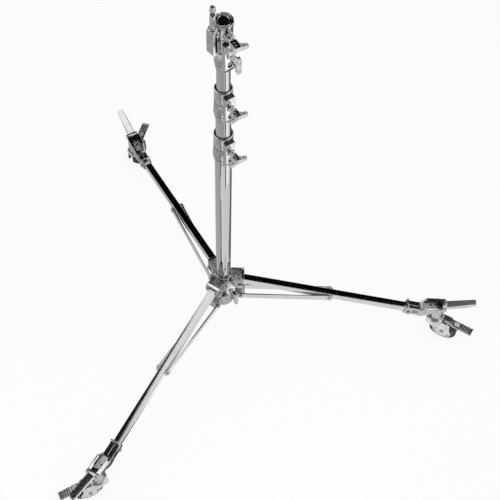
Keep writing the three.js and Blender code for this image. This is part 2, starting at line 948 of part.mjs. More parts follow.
// Caster housing: clamps the leg's end, and holds the swivel and the lever over it. It is drawn
// in the leg's upright plane, x from the column axis, and cut for the sloping tube.
function casterHousing() {
  const sloped = (geometry) =>
    solid(geometry.rotateY(slope).translate(legHingeRadius, 0, legHingeZ));
  const half = legWidth / 2 + slip;
  const top = legAxisRise + legDepth / 2 + slip;
  const low = legAxisRise - legDepth / 2 - slip;
  const wide = half + sleeveSide;
  let body = sloped(
    box(sleeveStart, sleeveEnd, -wide, wide, low - sleeveTop, top + sleeveTop),
  );
  body = body.add(
    sloped(
      box(
        sleeveStart,
        sleeveStart + sleeveTabLength,
        -wide,
        wide,
        top,
        top + sleeveTop + sleeveTab,
      ),
    ),
  );
  const boltReach = wide + sleeveBoltHead;
  const clampBolt = barY(
    sleeveBoltRadius,
    -boltReach,
    boltReach,
    sleeveEnd - sleeveBoltBack,
    legAxisRise - sleeveBoltDrop,
    boltSides,
  );
  body = body.add(sloped(clampBolt));
  const ribPitch = (2 * half) / sleeveRibs;
  const grooveHalf = (ribPitch * sleeveRibShare) / 2;
  for (let k = 0; k < sleeveRibs; k += 1) {
    const y = -half + k * ribPitch + ribPitch / 2;
    const groove = box(
      sleeveStart + 2 * sleeveTabLength,
      sleeveEnd - sleeveTabLength,
      y - grooveHalf,
      y + grooveHalf,
      top + sleeveTop - sleeveRibDepth,
      top + sleeveTop + overrun,
    );
    body = body.subtract(sloped(groove));
  }
  const back = swivelRadius - housingBack;
  const nose = swivelRadius + barrelRadius - slip;
  const frameLow = housingTop - frameDepth;
  const neckLow = housingBottom + neckRise;
  const side = outline([
    [back, housingShoulderZ],
    [swivelRadius - housingRiseStart, housingShoulderZ],
    [swivelRadius - housingRiseEnd, housingTop],
    [swivelRadius + earForward - earRadius, housingTop],
    [nose, housingTop - 2 * earRadius],
    [nose, frameLow],
    [swivelRadius - barrelRadius, frameLow],
    [swivelRadius - housingKeel, neckLow],
    [back, neckLow],
  ]);
  const plan = new THREE.Shape();
  const w = housingWidth / 2;
  plan.moveTo(back, -wide);
  plan.lineTo(swivelRadius - housingRiseEnd, -w);
  plan.lineTo(swivelRadius, -w);
  plan.absarc(swivelRadius, 0, w, -Math.PI / 2, Math.PI / 2);
  plan.lineTo(swivelRadius - housingRiseEnd, w);
  plan.lineTo(back, wide);
  const frame = solid(sidePlate(side, -housingWidth, housingWidth)).intersect(
    solid(planPlate(plan, housingBottom - overrun, housingTop + overrun, arcSteps)),
  );
  const barrel = barZ(barrelRadius, housingBottom, housingTop - windowDepth, roundSides);
  body = body.add(frame).add(solid(barrel.translate(swivelRadius, 0, 0)));
  const pivotX = swivelRadius + earForward;
  const pivotZ = housingTop - earDrop;
  const ears = barY(earRadius, -earSpan / 2, earSpan / 2, pivotX, pivotZ, boltSides);
  body = body.add(solid(ears));
  const windowFloor = housingTop - windowDepth;
  const studs = studBacks.map((behind) =>
    solid(
      barZ(studRadius, windowFloor - overrun, windowFloor + studHeight, boltSides).translate(
        swivelRadius - behind,
        0,
        0,
      ),
    ),
  );
  const leverRoom = leverRootWidth / 2 + slip;
  const leverSlot = box(
    pivotX - leverHubRadius - 2 * slip,
    pivotX + housingWidth,
    -leverRoom,
    leverRoom,
    pivotZ - leverHubRadius - leverThickness / 2,
    housingTop + overrun,
  );
  const pinHole = barY(holeFor(leverPinRadius), -earSpan, earSpan, pivotX, pivotZ, boltSides);
  const window = planPlate(
    roundRectangle(windowLength, windowWidth, windowWidth / 2 - slip, 0, 0),
    windowFloor,
    housingTop + overrun,
    windowSteps,
  ).translate(swivelRadius - windowBack, 0, 0);
  const kingpinHole = barZ(
    holeFor(kingpinRadius),
    housingBottom - overrun,
    windowFloor - kingpinCover,
    boltSides,
  ).translate(swivelRadius, 0, 0);
  const tubeRoom = planPlate(
    roundRectangle(legDepth + 2 * slip, legWidth + 2 * slip, legCorner),
    sleeveStart - overrun,
    legLength + slip,
  )
    .rotateY(Math.PI / 2)
    .translate(0, 0, legAxisRise);
  return body
    .subtract(solid(window))
    .add(studs[0])
    .add(studs[1])
    .subtract(solid(leverSlot))
    .subtract(solid(pinHole))
    .subtract(solid(kingpinHole))
    .subtract(sloped(tubeRoom));
}

// Swivel lock lever: a tapered bar on its pivot, drawn along +X with the pivot at the origin.
function lockLever() {
  const plan = outline([
    [0, -leverRootWidth / 2],
    [leverLength, -leverTipWidth / 2],
    [leverLength, leverTipWidth / 2],
    [0, leverRootWidth / 2],
  ]);
  const bar = planPlate(plan, -leverThickness / 2, leverThickness / 2);
  const root = leverRootWidth / 2;
  const hub = barY(leverHubRadius, -root, root, 0, 0, boltSides);
  const pin = barY(leverPinRadius, -earSpan / 2, earSpan / 2, 0, 0, boltSides);
  return solid(bar).add(solid(hub)).add(solid(pin));
}

// Fork: swivel race, crown and two deep side sheets, drawn with the swivel axis on Z and
// the wheel trailing along +X.
function fork() {
  const axleZ = floorZ + wheelRadius;
  const race = turned(
    [
      [kingpinRadius + slip, raceTop - raceHeight],
      [raceRadius, raceTop - raceHeight],
      [raceRadius, raceTop - raceHeight / 2],
      [raceRadius - raceHeight / 2, raceTop],
      [kingpinRadius + slip, raceTop],
    ],
    roundSides,
  );
  const side = new THREE.Shape();
  side.moveTo(-crownRear, crownTop);
  side.lineTo(-crownRear, axleZ + forkSkirt);
  side.absarc(trail, axleZ, forkSideRadius, radians(forkArcStart), radians(forkArcEnd));
  side.lineTo(pedalPivot + forkBrow, crownTop);
  const inner = forkGap / 2;
  const sheets = [-inner - forkSheet, inner].map((y) =>
    solid(sidePlate(side, y, y + forkSheet, arcSteps)),
  );
  const crown = box(
    -crownRear,
    raceRadius,
    -inner - slip,
    inner + slip,
    crownTop - forkSheet,
    crownTop,
  );
  const boreZ = barZ(kingpinRadius + slip, floorZ, raceTop, boltSides);
  const axleHole = barY(holeFor(axleRadius), -forkGap, forkGap, trail, axleZ, boltSides);
  const pinZ = wheelTop + pedalPivotLift;
  const pedalHole = barY(holeFor(pedalPinRadius), -forkGap, forkGap, pedalPivot, pinZ, boltSides);
  return sheets[0]
    .add(sheets[1])
    .add(solid(crown))
    .add(solid(race))
    .subtract(solid(boreZ))
    .subtract(solid(axleHole))
    .subtract(solid(pedalHole));
}

// Kingpin: holds the fork up to the housing, its head under the crown.
function kingpin() {
  const low = raceTop - raceHeight - slip;
  const reach = housingTop - windowDepth - kingpinCover - slip;
  const head = barZ(kingpinHead, low - kingpinHeadHeight, low, hexSides);
  return solid(barZ(kingpinRadius, low - kingpinHeadHeight / 2, reach, boltSides)).add(
    solid(head),
  );
}

// Wheel: hub, web and rim in one, drawn about Z with its middle at zero.
function wheelCore() {
  const rimOuter = wheelRadius - treadDepth - slip;
  const bore = axleRadius + slip;
  const [hub, rimHalf, web] = [wheelHubWidth / 2, rimWidth / 2, webThickness / 2];
  return turned(
    [
      [bore, -hub],
      [wheelHubRadius, -hub],
      [wheelHubRadius, -web],
      [rimOuter - rimWall, -web],
      [rimOuter - rimWall, -rimHalf],
      [rimOuter, -rimHalf],
      [rimOuter, rimHalf],
      [rimOuter - rimWall, rimHalf],
      [rimOuter - rimWall, web],
      [wheelHubRadius, web],
      [wheelHubRadius, hub],
      [bore, hub],
    ],
    wheelSides,
  );
}

function tyre() {
  const inner = wheelRadius - treadDepth;
  const half = treadWidth / 2;
  const shoulder = treadShoulder;
  return turned(
    [
      [inner, -half],
      [wheelRadius - shoulder, -half],
      [wheelRadius, -half + shoulder],
      [wheelRadius, half - shoulder],
      [wheelRadius - shoulder, half],
      [inner, half],
    ],
    wheelSides,
  );
}

// Brake pedal over the wheel: a smooth start, a raised button, ribs and a lip at the tip.
// It is drawn with its pivot at the origin and the tip along +X.
function brakePedal() {
  const length = pedalEnd - pedalPivot;
  const start = pedalStart - pedalPivot;
  const topAt = (x) => pedalThickness - (pedalDrop * (x - start)) / (length - start);
  const ribPitch = (pedalRibEnd - pedalRibStart) / pedalRibs;
  const points = [
    [start, 0],
    [start, topAt(start)],
  ];
  const [buttonFrom, buttonTo] = [pedalButtonStart, pedalButtonStart + pedalButtonLength];
  points.push([buttonFrom, topAt(buttonFrom)]);
  points.push([buttonFrom, topAt(buttonFrom) + pedalButton]);
  points.push([buttonTo, topAt(buttonTo) + pedalButton]);
  points.push([buttonTo, topAt(buttonTo)]);
  for (let k = 0; k < pedalRibs; k += 1) {
    const x = pedalRibStart + k * ribPitch;
    const mid = x + ribPitch / 2;
    points.push([x, topAt(x)], [x, topAt(x) + pedalRib]);
    points.push([mid, topAt(mid) + pedalRib], [mid, topAt(mid)]);
  }
  const lipFoot = length - pedalLipLength;
  const lipTop = lipFoot + pedalLipSlant;
  points.push([lipFoot, topAt(lipFoot)]);
  points.push([lipTop, topAt(lipTop) + pedalLip]);
  points.push([length, topAt(length) + pedalLip]);
  points.push([length, topAt(length) - pedalThickness]);
  points.push([pedalThickness, topAt(pedalThickness) - pedalThickness]);
  points.push([pedalThickness, -pedalPinRadius - pedalRib]);
  points.push([-pedalThickness, -pedalPinRadius - pedalRib]);
  const half = pedalWidth / 2;
  const blade = sidePlate(outline(points), -half, half);
  const reach = forkGap / 2 + forkSheet;
  const pin = barY(pedalPinRadius, -reach, reach, 0, 0, boltSides);
  return solid(blade).add(solid(pin));
}

legAzimuths.forEach((azimuth, k) => {
  const n = k + 1;
  const leg = new THREE.Group();
  leg.rotation.z = radians(azimuth);
  stand.add(leg);

  const tubeMesh = piece(leg, `leg_${n}_tube`, legTube(), chrome);
  tubeMesh.position.set(legHingeRadius, 0, legHingeZ);
  tubeMesh.rotation.y = slope;
  const hingeBolt = bolt(
    hingeBoltRadius,
    armWidth / 2 + slip,
    hingeBoltHead,
    hingeBoltHeadHeight,
  );
  const hingeMesh = piece(leg, `leg_${n}_hinge_bolt`, hingeBolt, chrome);
  hingeMesh.position.set(legHingeRadius, 0, legHingeZ);

  [1, -1].forEach((side) => {
    const name = side > 0 ? `brace_${n}_left_strap` : `brace_${n}_right_strap`;
    const mesh = piece(leg, name, strap(strapLength), chrome);
    mesh.position.set(bracePivotRadius, side * strapGap, bracePivotZ);
    mesh.rotation.y = -Math.atan2(strapRise, strapRun);
    mesh.scale.y = side;
  });
  const braceBolt = bolt(
    braceBoltRadius,
    strapGap + strapThickness + slip,
    braceBoltHead,
    braceBoltHeadHeight,
  );
  const braceMesh = piece(leg, `brace_${n}_bolt`, braceBolt, chrome);
  braceMesh.position.set(bracePivotRadius, 0, bracePivotZ);

  piece(leg, `caster_${n}_housing`, casterHousing(), chromeCast);
  const lever = piece(leg, `caster_${n}_lock_lever`, lockLever(), pressedSteel);
  lever.position.set(swivelRadius + earForward, 0, housingTop - earDrop);
  lever.rotation.y = -radians(leverTilt);

  const caster = new THREE.Group();
  caster.position.x = swivelRadius;
  caster.rotation.z = radians(casterTurns[k]);
  leg.add(caster);
  piece(caster, `caster_${n}_fork`, fork(), chrome);
  piece(caster, `caster_${n}_kingpin`, kingpin(), chrome);
  const axle = bolt(axleRadius, forkGap / 2 + forkSheet + slip, axleHead, axleHeadHeight);
  const axleMesh = piece(caster, `caster_${n}_axle`, axle, chrome);
  axleMesh.position.set(trail, 0, floorZ + wheelRadius);
  const spin = new THREE.Group();
  spin.position.set(trail, 0, floorZ + wheelRadius);
  spin.rotation.x = Math.PI / 2;
  caster.add(spin);
  piece(spin, `caster_${n}_wheel`, solid(wheelCore()), nylon);
  piece(spin, `caster_${n}_tyre`, solid(tyre()), rubber);
  const pedal = piece(caster, `caster_${n}_brake_pedal`, brakePedal(), pressedSteel);
  pedal.position.set(pedalPivot, 0, wheelTop + pedalPivotLift);
});

export default stand;
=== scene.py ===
import json
import math
from math import asin, cos, degrees, pi, radians, sin

import bmesh
import bpy
from mathutils import Matrix, Vector

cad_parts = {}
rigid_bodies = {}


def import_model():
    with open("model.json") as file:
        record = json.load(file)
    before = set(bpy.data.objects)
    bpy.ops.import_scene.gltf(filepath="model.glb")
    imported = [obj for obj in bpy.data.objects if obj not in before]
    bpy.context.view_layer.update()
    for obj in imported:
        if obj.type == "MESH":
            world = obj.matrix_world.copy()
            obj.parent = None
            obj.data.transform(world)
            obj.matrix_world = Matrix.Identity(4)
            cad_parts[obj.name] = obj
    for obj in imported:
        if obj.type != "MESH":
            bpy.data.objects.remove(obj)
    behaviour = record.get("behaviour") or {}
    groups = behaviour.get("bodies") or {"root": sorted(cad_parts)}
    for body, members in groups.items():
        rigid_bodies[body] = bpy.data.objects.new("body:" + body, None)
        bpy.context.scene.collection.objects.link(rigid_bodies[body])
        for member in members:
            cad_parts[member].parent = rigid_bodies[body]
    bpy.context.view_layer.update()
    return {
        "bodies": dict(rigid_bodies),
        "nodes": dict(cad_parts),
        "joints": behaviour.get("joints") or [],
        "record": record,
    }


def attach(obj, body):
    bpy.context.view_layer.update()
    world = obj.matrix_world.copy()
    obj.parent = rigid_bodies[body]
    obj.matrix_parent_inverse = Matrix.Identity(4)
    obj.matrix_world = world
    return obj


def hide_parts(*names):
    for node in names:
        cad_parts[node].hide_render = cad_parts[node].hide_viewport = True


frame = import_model()

# Camera: a long lens high in front of the stand, looking steeply down on its open base, with
# the column a little left of the picture's middle.
camera_distance = 1.8049
camera_height = 3.4888
camera_pitch = 29.81
camera_lens = 78.354
camera_shift = 0.0532
film_width = 36
camera_sight = 60

lens = bpy.data.cameras.new("stand_camera")
lens.lens = camera_lens
lens.sensor_width = film_width
lens.shift_x = camera_shift
lens.clip_end = camera_sight
camera = bpy.data.objects.new("stand_camera", lens)
camera.location = (0, -camera_distance, camera_height)
camera.rotation_euler = (radians(camera_pitch), 0, 0)
bpy.context.scene.collection.objects.link(camera)
bpy.context.scene.camera = camera
bpy.context.scene.view_settings.view_transform = "Standard"


# Studio: a white paper floor under a white overhead softbox. Black cloths hung round it, which
# only the chrome sees, put the dark lines into the tubes.
def new_material(name):
    made = bpy.data.materials.new(name)
    made.use_nodes = True
    made.node_tree.nodes.clear()
    return made


def add(tree, kind, **values):
    node = tree.nodes.new("ShaderNode" + kind)
    for key, value in values.items():
        setattr(node, key, value)
    return node


def join(tree, out, into):
    tree.links.new(out, into)


def seen_directly(tree):
    """1 for camera, mirror and transmission rays, so that they see the paper as plain white."""
    path = add(tree, "LightPath")
    total = add(tree, "Math", operation="ADD")
    most = add(tree, "Math", operation="ADD", use_clamp=True)
    join(tree, path.outputs["Is Camera Ray"], total.inputs[0])
    join(tree, path.outputs["Is Glossy Ray"], total.inputs[1])
    join(tree, total.outputs[0], most.inputs[0])
    join(tree, path.outputs["Is Transmission Ray"], most.inputs[1])
    return most.outputs[0]


world_light = 0.55
floor_z = -0.180
floor_reach = 40
paper_white = (0.86, 0.86, 0.86, 1)

world = bpy.data.worlds.new("studio_air")
bpy.context.scene.world = world
world.use_nodes = True
air = world.node_tree
air.nodes.clear()
lit = add(air, "Background")
lit.inputs["Color"].default_value = (1, 1, 1, 1)
lit.inputs["Strength"].default_value = world_light
seen = add(air, "Background")
seen.inputs["Color"].default_value = (1, 1, 1, 1)
seen.inputs["Strength"].default_value = 1
mixed = add(air, "MixShader")
end = add(air, "OutputWorld")
join(air, seen_directly(air), mixed.inputs["Fac"])
join(air, lit.outputs[0], mixed.inputs[1])
join(air, seen.outputs[0], mixed.inputs[2])
join(air, mixed.outputs[0], end.inputs["Surface"])


def sheet_of(name, corners, material):
    mesh = bpy.data.meshes.new(name)
    mesh.from_pydata(corners, [], [tuple(range(len(corners)))])
    made = bpy.data.objects.new(name, mesh)
    mesh.materials.append(material)
    bpy.context.scene.collection.objects.link(made)
    return made


# The paper takes the stand's shadow, laid over a white that the lamps can't dull.
paper = new_material("studio_paper")
tree = paper.node_tree
diffuse = add(tree, "BsdfDiffuse")
diffuse.inputs["Color"].default_value = paper_white
glow = add(tree, "Emission")
glow.inputs["Color"].default_value = (1, 1, 1, 1)
glow.inputs["Strength"].default_value = 1
shadow_share = 0.12
shadow_near, shadow_far = 2.5, 9
spot = add(tree, "NewGeometry")
away = add(tree, "VectorMath", operation="LENGTH")
join(tree, spot.outputs["Position"], away.inputs[0])
fade = add(tree, "MapRange")
fade.inputs["From Min"].default_value = shadow_near
fade.inputs["From Max"].default_value = shadow_far
fade.inputs["To Min"].default_value = 1 - shadow_share
fade.inputs["To Max"].default_value = 1
join(tree, away.outputs["Value"], fade.inputs["Value"])
share = add(tree, "Math", operation="MULTIPLY")
join(tree, fade.outputs[0], share.inputs[1])
join(tree, seen_directly(tree), share.inputs[0])
mixed = add(tree, "MixShader")
end = add(tree, "OutputMaterial")
join(tree, share.outputs[0], mixed.inputs["Fac"])
join(tree, diffuse.outputs[0], mixed.inputs[1])
join(tree, glow.outputs[0], mixed.inputs[2])
join(tree, mixed.outputs[0], end.inputs["Surface"])
reach = floor_reach / 2
sheet_of(
    "studio_floor",
    [(-reach, -reach, floor_z), (reach, -reach, floor_z), (reach, reach, floor_z),
     (-reach, reach, floor_z)],
    paper,
)

# Cloths hung round the stand and cards laid on the floor shape what its chrome reflects. Each
# has its azimuth from and to in degrees round the column. Then a cloth has its elevation from
# and to in degrees, and a card its distance from and to in metres. Its brightness comes last.
cloths = {
    "back_cloth_right": (25, 54, 12, 64, 0.001),
    "back_cloth_left": (77.5, 150, 12, 64, 0.001),
    "back_cloth_above": (54, 77.5, 46.5, 64, 0.001),
    "left_cloth": (168, 215, 50, 67.4, 0.001),
    "left_hem": (168, 215, 67.4, 68.0, 0.10),
    "left_fringe": (168, 215, 68.0, 68.6, 0.35),
    "camera_cloth": (215, 318, 22, 66, 0.004),
}
cards = {
    "left_card": (118, 232, 0, 2.2, 0.54),
    "line_card": (232, 244, 0, 1.30, 0.10),
    "bright_card": (244, 256, 0, 1.30, 1.15),
    "right_card": (256, 365, 0, 2.2, 0.90),
    "edge_card": (5, 118, 0, 2.2, 0.16),
    "outer_left_card": (232, 284, 1.30, 2.2, 0.48),
    "outer_line_card": (292, 303, 0.88, 2.2, 0.03),
    "outer_bright_card": (303, 338, 0.88, 2.2, 1.30),
}
cloth_distance = 9
card_height = 0.0005


def on_dome(azimuth, elevation, distance):
    a, e = radians(azimuth), radians(elevation)
    return Vector((cos(a) * cos(e), sin(a) * cos(e), sin(e))) * distance


def even_tone(name, tone):
    made = new_material(name)
    tree = made.node_tree
    glow = add(tree, "Emission")
    glow.inputs["Color"].default_value = (tone, tone, tone, 1)
    glow.inputs["Strength"].default_value = 1
    end = add(tree, "OutputMaterial")
    join(tree, glow.outputs[0], end.inputs["Surface"])
    return made


def seen_in_chrome_only(sheet):
    sheet.visible_camera = False
    sheet.visible_diffuse = False
    sheet.visible_shadow = False


steps = 12
for name, (start, stop, low, high, tone) in cloths.items():
    edge = [start + (stop - start) * k / steps for k in range(steps + 1)]
    corners = [on_dome(a, low, cloth_distance) for a in edge]
    corners += [on_dome(a, high, cloth_distance) for a in reversed(edge)]
    seen_in_chrome_only(sheet_of(name, corners, even_tone(name, tone)))
for layer, (name, (start, stop, near, far, tone)) in enumerate(cards.items()):
    edge = [start + (stop - start) * k / steps for k in range(steps + 1)]
    lift = Vector((0, 0, floor_z + card_height * (1 + layer)))
    inner = [lift + on_dome(a, 0, near) for a in reversed(edge)] if near else [lift]
    corners = [lift + on_dome(a, 0, far) for a in edge] + inner
    seen_in_chrome_only(sheet_of(name, corners, even_tone(name, tone)))

# A small bright card lies under the caster nearest the camera and lights its fork from below.
near_caster, caster_card_radius, caster_card_tone = (-0.47, -0.74), 0.15, 0.80
lift = Vector((*near_caster, floor_z + card_height * (1 + len(cards))))
corners = [lift + on_dome(360 * k / steps, 0, caster_card_radius) for k in range(steps)]
seen_in_chrome_only(sheet_of("caster_card", corners, even_tone("caster_card", caster_card_tone)))

# Lamps: a large soft overhead box, and a weaker one from the left front.
lamps = {
    "overhead_box": ((0.4, -0.3, 3.6), 2.6, 60),
    "front_box": ((-2.6, -2.8, 2.4), 1.6, 28),
}
lamp_aim_height = 0.3
for name, (place, size, power) in lamps.items():
    lamp = bpy.data.lights.new(name, "AREA")
    lamp.shape = "SQUARE"
    lamp.size = size
    lamp.energy = power
    lamp.use_shadow = True
    box_lamp = bpy.data.objects.new(name, lamp)
    box_lamp.location = place
    aim = Vector((0, 0, lamp_aim_height)) - Vector(place)
    box_lamp.rotation_euler = aim.to_track_quat("-Z", "Y").to_euler()
    box_lamp.visible_camera = False
    box_lamp.visible_glossy = False
    bpy.context.scene.collection.objects.link(box_lamp)

# Base tube: a drawn and chromed steel tube with its two ends eased, pressed over the foot plug
# below and held in the first clamp collar above.
MM = 0.001
ROUND = 96


def eased(points, edge, steps=3, nearly_straight=172):
    """An outline with each corner off the axis rounded by about the edge."""
    if not edge:
        return list(points)
    most_share = 0.45
    made = []
    for k, point in enumerate(points):
        corner = Vector(point)
        before, after = Vector(points[k - 1]), Vector(points[(k + 1) % len(points)])
        near, far = (before - corner), (after - corner)
        if corner.x < edge or near.angle(far, 0) > radians(nearly_straight):
            made.append(tuple(corner))
            continue
        start = corner + near.normalized() * min(edge, near.length * most_share)
        stop = corner + far.normalized() * min(edge, far.length * most_share)
        for step in range(steps):
            t = step / (steps - 1)
            made.append(tuple(start * (1 - t) ** 2 + corner * 2 * t * (1 - t) + stop * t * t))
    return made


def turned(outline, edge=0.6, sides=ROUND):
    """A mesh turned about Z from a closed outline of radius and height in millimetres."""
    made = bmesh.new()
    rings = []
    for radius, height in eased(outline, edge):
        count = sides if radius > 0 else 1
        rings.append([
            made.verts.new((radius * cos(2 * pi * j / sides), radius * sin(2 * pi * j / sides), height))
            for j in range(count)
        ])
    for k, low in enumerate(rings):
        high = rings[(k + 1) % len(rings)]
        if len(low) == len(high) == 1:
            continue
        for j in range(sides):
            i = (j + 1) % sides
            loop = [low[j % len(low)], low[i % len(low)], high[i % len(high)], high[j % len(high)]]
            made.faces.new(list(dict.fromkeys(loop)))
    bmesh.ops.recalc_face_normals(made, faces=made.faces)
    return made


# Faces of one casting can have their own finish: its skin, its recesses, painted near black as shade
# over the dull metal that plating hardly reaches, and the faces that were ground or turned after casting.
SKIN, PAINTED_SHADE, GROUND, SATIN = range(4)


def loose(mesh, name="work", finishes=(None, None, None, None)):
    """A plain object that holds a mesh, with a material for each of its finishes."""
    data = bpy.data.meshes.new(name)
    mesh.to_mesh(data)
    mesh.free()
    for finish in finishes:
        data.materials.append(finish)
    made = bpy.data.objects.new(name, data)
    bpy.context.scene.collection.objects.link(made)
    return made


def combined(body, tool, how):
    """The body joined to the tool (UNION), cut by it (DIFFERENCE) or kept inside it (INTERSECT)."""
    held, used = loose(body), loose(tool)
    step = held.modifiers.new(how, "BOOLEAN")
    step.operation = how
    step.solver = "EXACT"
    step.object = used
    graph = bpy.context.evaluated_depsgraph_get()
    data = bpy.data.meshes.new_from_object(held.evaluated_get(graph))
    made = bmesh.new()
    made.from_mesh(data)
    for spent in (held, used):
        bpy.data.meshes.remove(spent.data)
    bpy.data.meshes.remove(data)
    return made


def marked(mesh, finish, where=None):
    """Gives the finish to all faces, or to those that a test of centre and direction picks."""
    mesh.normal_update()
    for face in mesh.faces:
        if where is None or where(face.calc_center_median(), face.normal):
            face.material_index = finish
    return mesh


def joined(*parts):
    whole = parts[0]
    for part in parts[1:]:
        whole = combined(whole, part, "UNION")
    return whole


def cut(body, *tools):
    for tool in tools:
        body = combined(body, tool, "DIFFERENCE")
    return body


def moved(mesh, place=(0, 0, 0), turn=None):
    """The mesh turned by a matrix and then moved, in millimetres."""
    if turn is not None:
        mesh.transform(turn)
    mesh.transform(Matrix.Translation(place))
    return mesh


def softened(mesh, width, angle=38, steps=2, weld=0.02, flat=0.5):
    """Rounds the edges that meet at more than the angle, once flat faces in parts are made whole."""
    bmesh.ops.remove_doubles(mesh, verts=mesh.verts, dist=weld)
    bmesh.ops.dissolve_limit(
        mesh, angle_limit=radians(flat), verts=mesh.verts, edges=mesh.edges,
        use_dissolve_boundaries=False,
    )
    hard = [
        e for e in mesh.edges if len(e.link_faces) == 2 and e.calc_face_angle(0) > radians(angle)
    ]
    bmesh.ops.bevel(
        mesh, geom=hard, offset=width, offset_type="OFFSET", segments=steps, profile=0.6,
        affect="EDGES", clamp_overlap=True, miter_outer="ARC", miter_inner="SHARP",
    )
    return mesh


def made_piece(name, mesh, body, material, nodes, crisp=32, weld=1e-6):
    """A finished piece of the stand: it rides on its body and stands for its solids."""
    mesh.transform(Matrix.Scale(MM, 4))
    bmesh.ops.remove_doubles(mesh, verts=mesh.verts, dist=weld)
    bmesh.ops.recalc_face_normals(mesh, faces=mesh.faces)
    for face in mesh.faces:
        face.smooth = True
    for edge in mesh.edges:
        edge.smooth = len(edge.link_faces) == 2 and edge.calc_face_angle(0) < radians(crisp)
    made = loose(mesh, name, material if isinstance(material, tuple) else (material,))
    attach(made, body)
    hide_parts(*nodes)


def surface(name, light, dark, metal, rough, patch, grain, bump, stretch=(1, 1, 1)):
    """A finish: wide patches from dark to light, and a fine grain in its roughness and relief."""
    patch_span, grain_span = (0.35, 0.65), (0.3, 0.7)
    made = new_material(name)
    tree = made.node_tree
    skin = add(tree, "BsdfPrincipled")
    end = add(tree, "OutputMaterial")
    join(tree, skin.outputs[0], end.inputs["Surface"])
    skin.inputs["Metallic"].default_value = metal
    spot = add(tree, "TexCoord")
    scale = add(tree, "Mapping")
    scale.inputs["Scale"].default_value = stretch
    join(tree, spot.outputs["Object"], scale.inputs["Vector"])
    wide = add(tree, "TexNoise")
    wide.inputs["Scale"].default_value = patch
    wide.inputs["Detail"].default_value = 4
    join(tree, scale.outputs[0], wide.inputs["Vector"])
    tone = add(tree, "ValToRGB")
    for stop, place, colour in zip(tone.color_ramp.elements, patch_span, (dark, light)):
        stop.position = place
        stop.color = (*colour, 1)
    join(tree, wide.outputs["Fac"], tone.inputs["Fac"])
    join(tree, tone.outputs["Color"], skin.inputs["Base Color"])
    fine = add(tree, "TexNoise")
    fine.inputs["Scale"].default_value = grain
    fine.inputs["Detail"].default_value = 3
    join(tree, scale.outputs[0], fine.inputs["Vector"])
    sheen = add(tree, "MapRange")
    sheen.inputs["From Min"].default_value = grain_span[0]
    sheen.inputs["From Max"].default_value = grain_span[1]
    sheen.inputs["To Min"].default_value = rough[0]
    sheen.inputs["To Max"].default_value = rough[1]
    join(tree, fine.outputs["Fac"], sheen.inputs["Value"])
    join(tree, sheen.outputs[0], skin.inputs["Roughness"])
    relief = add(tree, "Bump")
    relief.inputs["Strength"].default_value = bump
    relief.inputs["Distance"].default_value = MM
    join(tree, fine.outputs["Fac"], relief.inputs["Height"])
    join(tree, relief.outputs[0], skin.inputs["Normal"])
    return made


tube_wall = 1.6
tube_radii = [25, 22, 19, 16]
base_tube_bottom, base_tube_top = 6.3, 990.7
# Polished plate with faint rub marks along the tubes, where they slide in their bushes.
tube_chrome = surface(
    "tube_chrome", (0.62, 0.63, 0.635), (0.56, 0.57, 0.575), 1, (0.05, 0.11), 9, 240, 0.05,
    stretch=(1, 1, 0.03),
)


def tube(radius, low, high):
    return turned([
        (radius - tube_wall, low), (radius, low), (radius, high), (radius - tube_wall, high),
    ], edge=0.5)


made_piece("base_tube_chromed", tube(tube_radii[0], base_tube_bottom, base_tube_top),
           "column_base", tube_chrome, ["base_tube"])

# Foot plug: a moulded black nylon disc with a stub that is pushed into the base tube. Its
# underside has a dished ring, as thick mouldings have.
black_nylon = surface(
    "black_nylon", (0.030, 0.030, 0.032), (0.018, 0.018, 0.020), 0, (0.38, 0.55), 30, 900, 0.25
)
plug_reach, plug_flange, plug_radius = 22, 6, 23.1
dish_inner, dish_outer, dish_depth = 6, 19, 3
plug = cut(
    turned([
        (0, 0), (tube_radii[0], 0), (tube_radii[0], plug_flange), (plug_radius, plug_flange),
        (plug_radius, plug_reach), (0, plug_reach),
    ]),
    turned([
        (dish_inner, -1), (dish_outer, -1), (dish_outer - 1, dish_depth),
        (dish_inner + 0.6, dish_depth),
    ], edge=0.4),
)
made_piece("foot_plug_moulded", plug, "column_base", black_nylon, ["foot_plug"])

# Risers: three thinner chromed tubes nested in the base tube, each with a nylon bush pressed
# into its lower end that guides it in the tube outside it.
bush_flange, bush_plug, bush_wall = 9, 16, 2.4
bush_gap = 1.4
seat_gap = 0.3
riser_tops = [1193.7, 1405.7, 1450.0]
for k, top in enumerate(riser_tops):
    radius = tube_radii[k + 1]
    low = plug_reach + seat_gap + k * (bush_flange + bush_plug + seat_gap)
    outside, inside = radius + bush_gap - seat_gap, radius - tube_wall - seat_gap
    flange = low + bush_flange
    bush = turned([
        (inside - bush_wall, low), (outside, low), (outside, flange), (inside, flange),
        (inside, flange + bush_plug), (inside - bush_wall, flange + bush_plug),
    ], edge=0.8)
    riser = f"riser_{k + 1}"
    made_piece(f"{riser}_bush_moulded", bush, riser, black_nylon, [f"{riser}_bush"])
    made_piece(f"{riser}_chromed", tube(radius, flange + seat_gap, top), riser,
               tube_chrome, [riser])

# Clamp collars: chromed castings pressed on the top end of each outer tube. A tall boss down
# the side holds the clamp screw's nut in a pocket under the key, and the mouth grips the riser.
SIDEWAYS = Matrix.Rotation(radians(90), 4, "X")
ACROSS = Matrix(((0, 0, 1, 0), (1, 0, 0, 0), (0, 1, 0, 0), (0, 0, 0, 1)))
ALONG_X = Matrix.Rotation(radians(90), 4, "Y")
ALONG_Y = Matrix.Rotation(radians(-90), 4, "X")


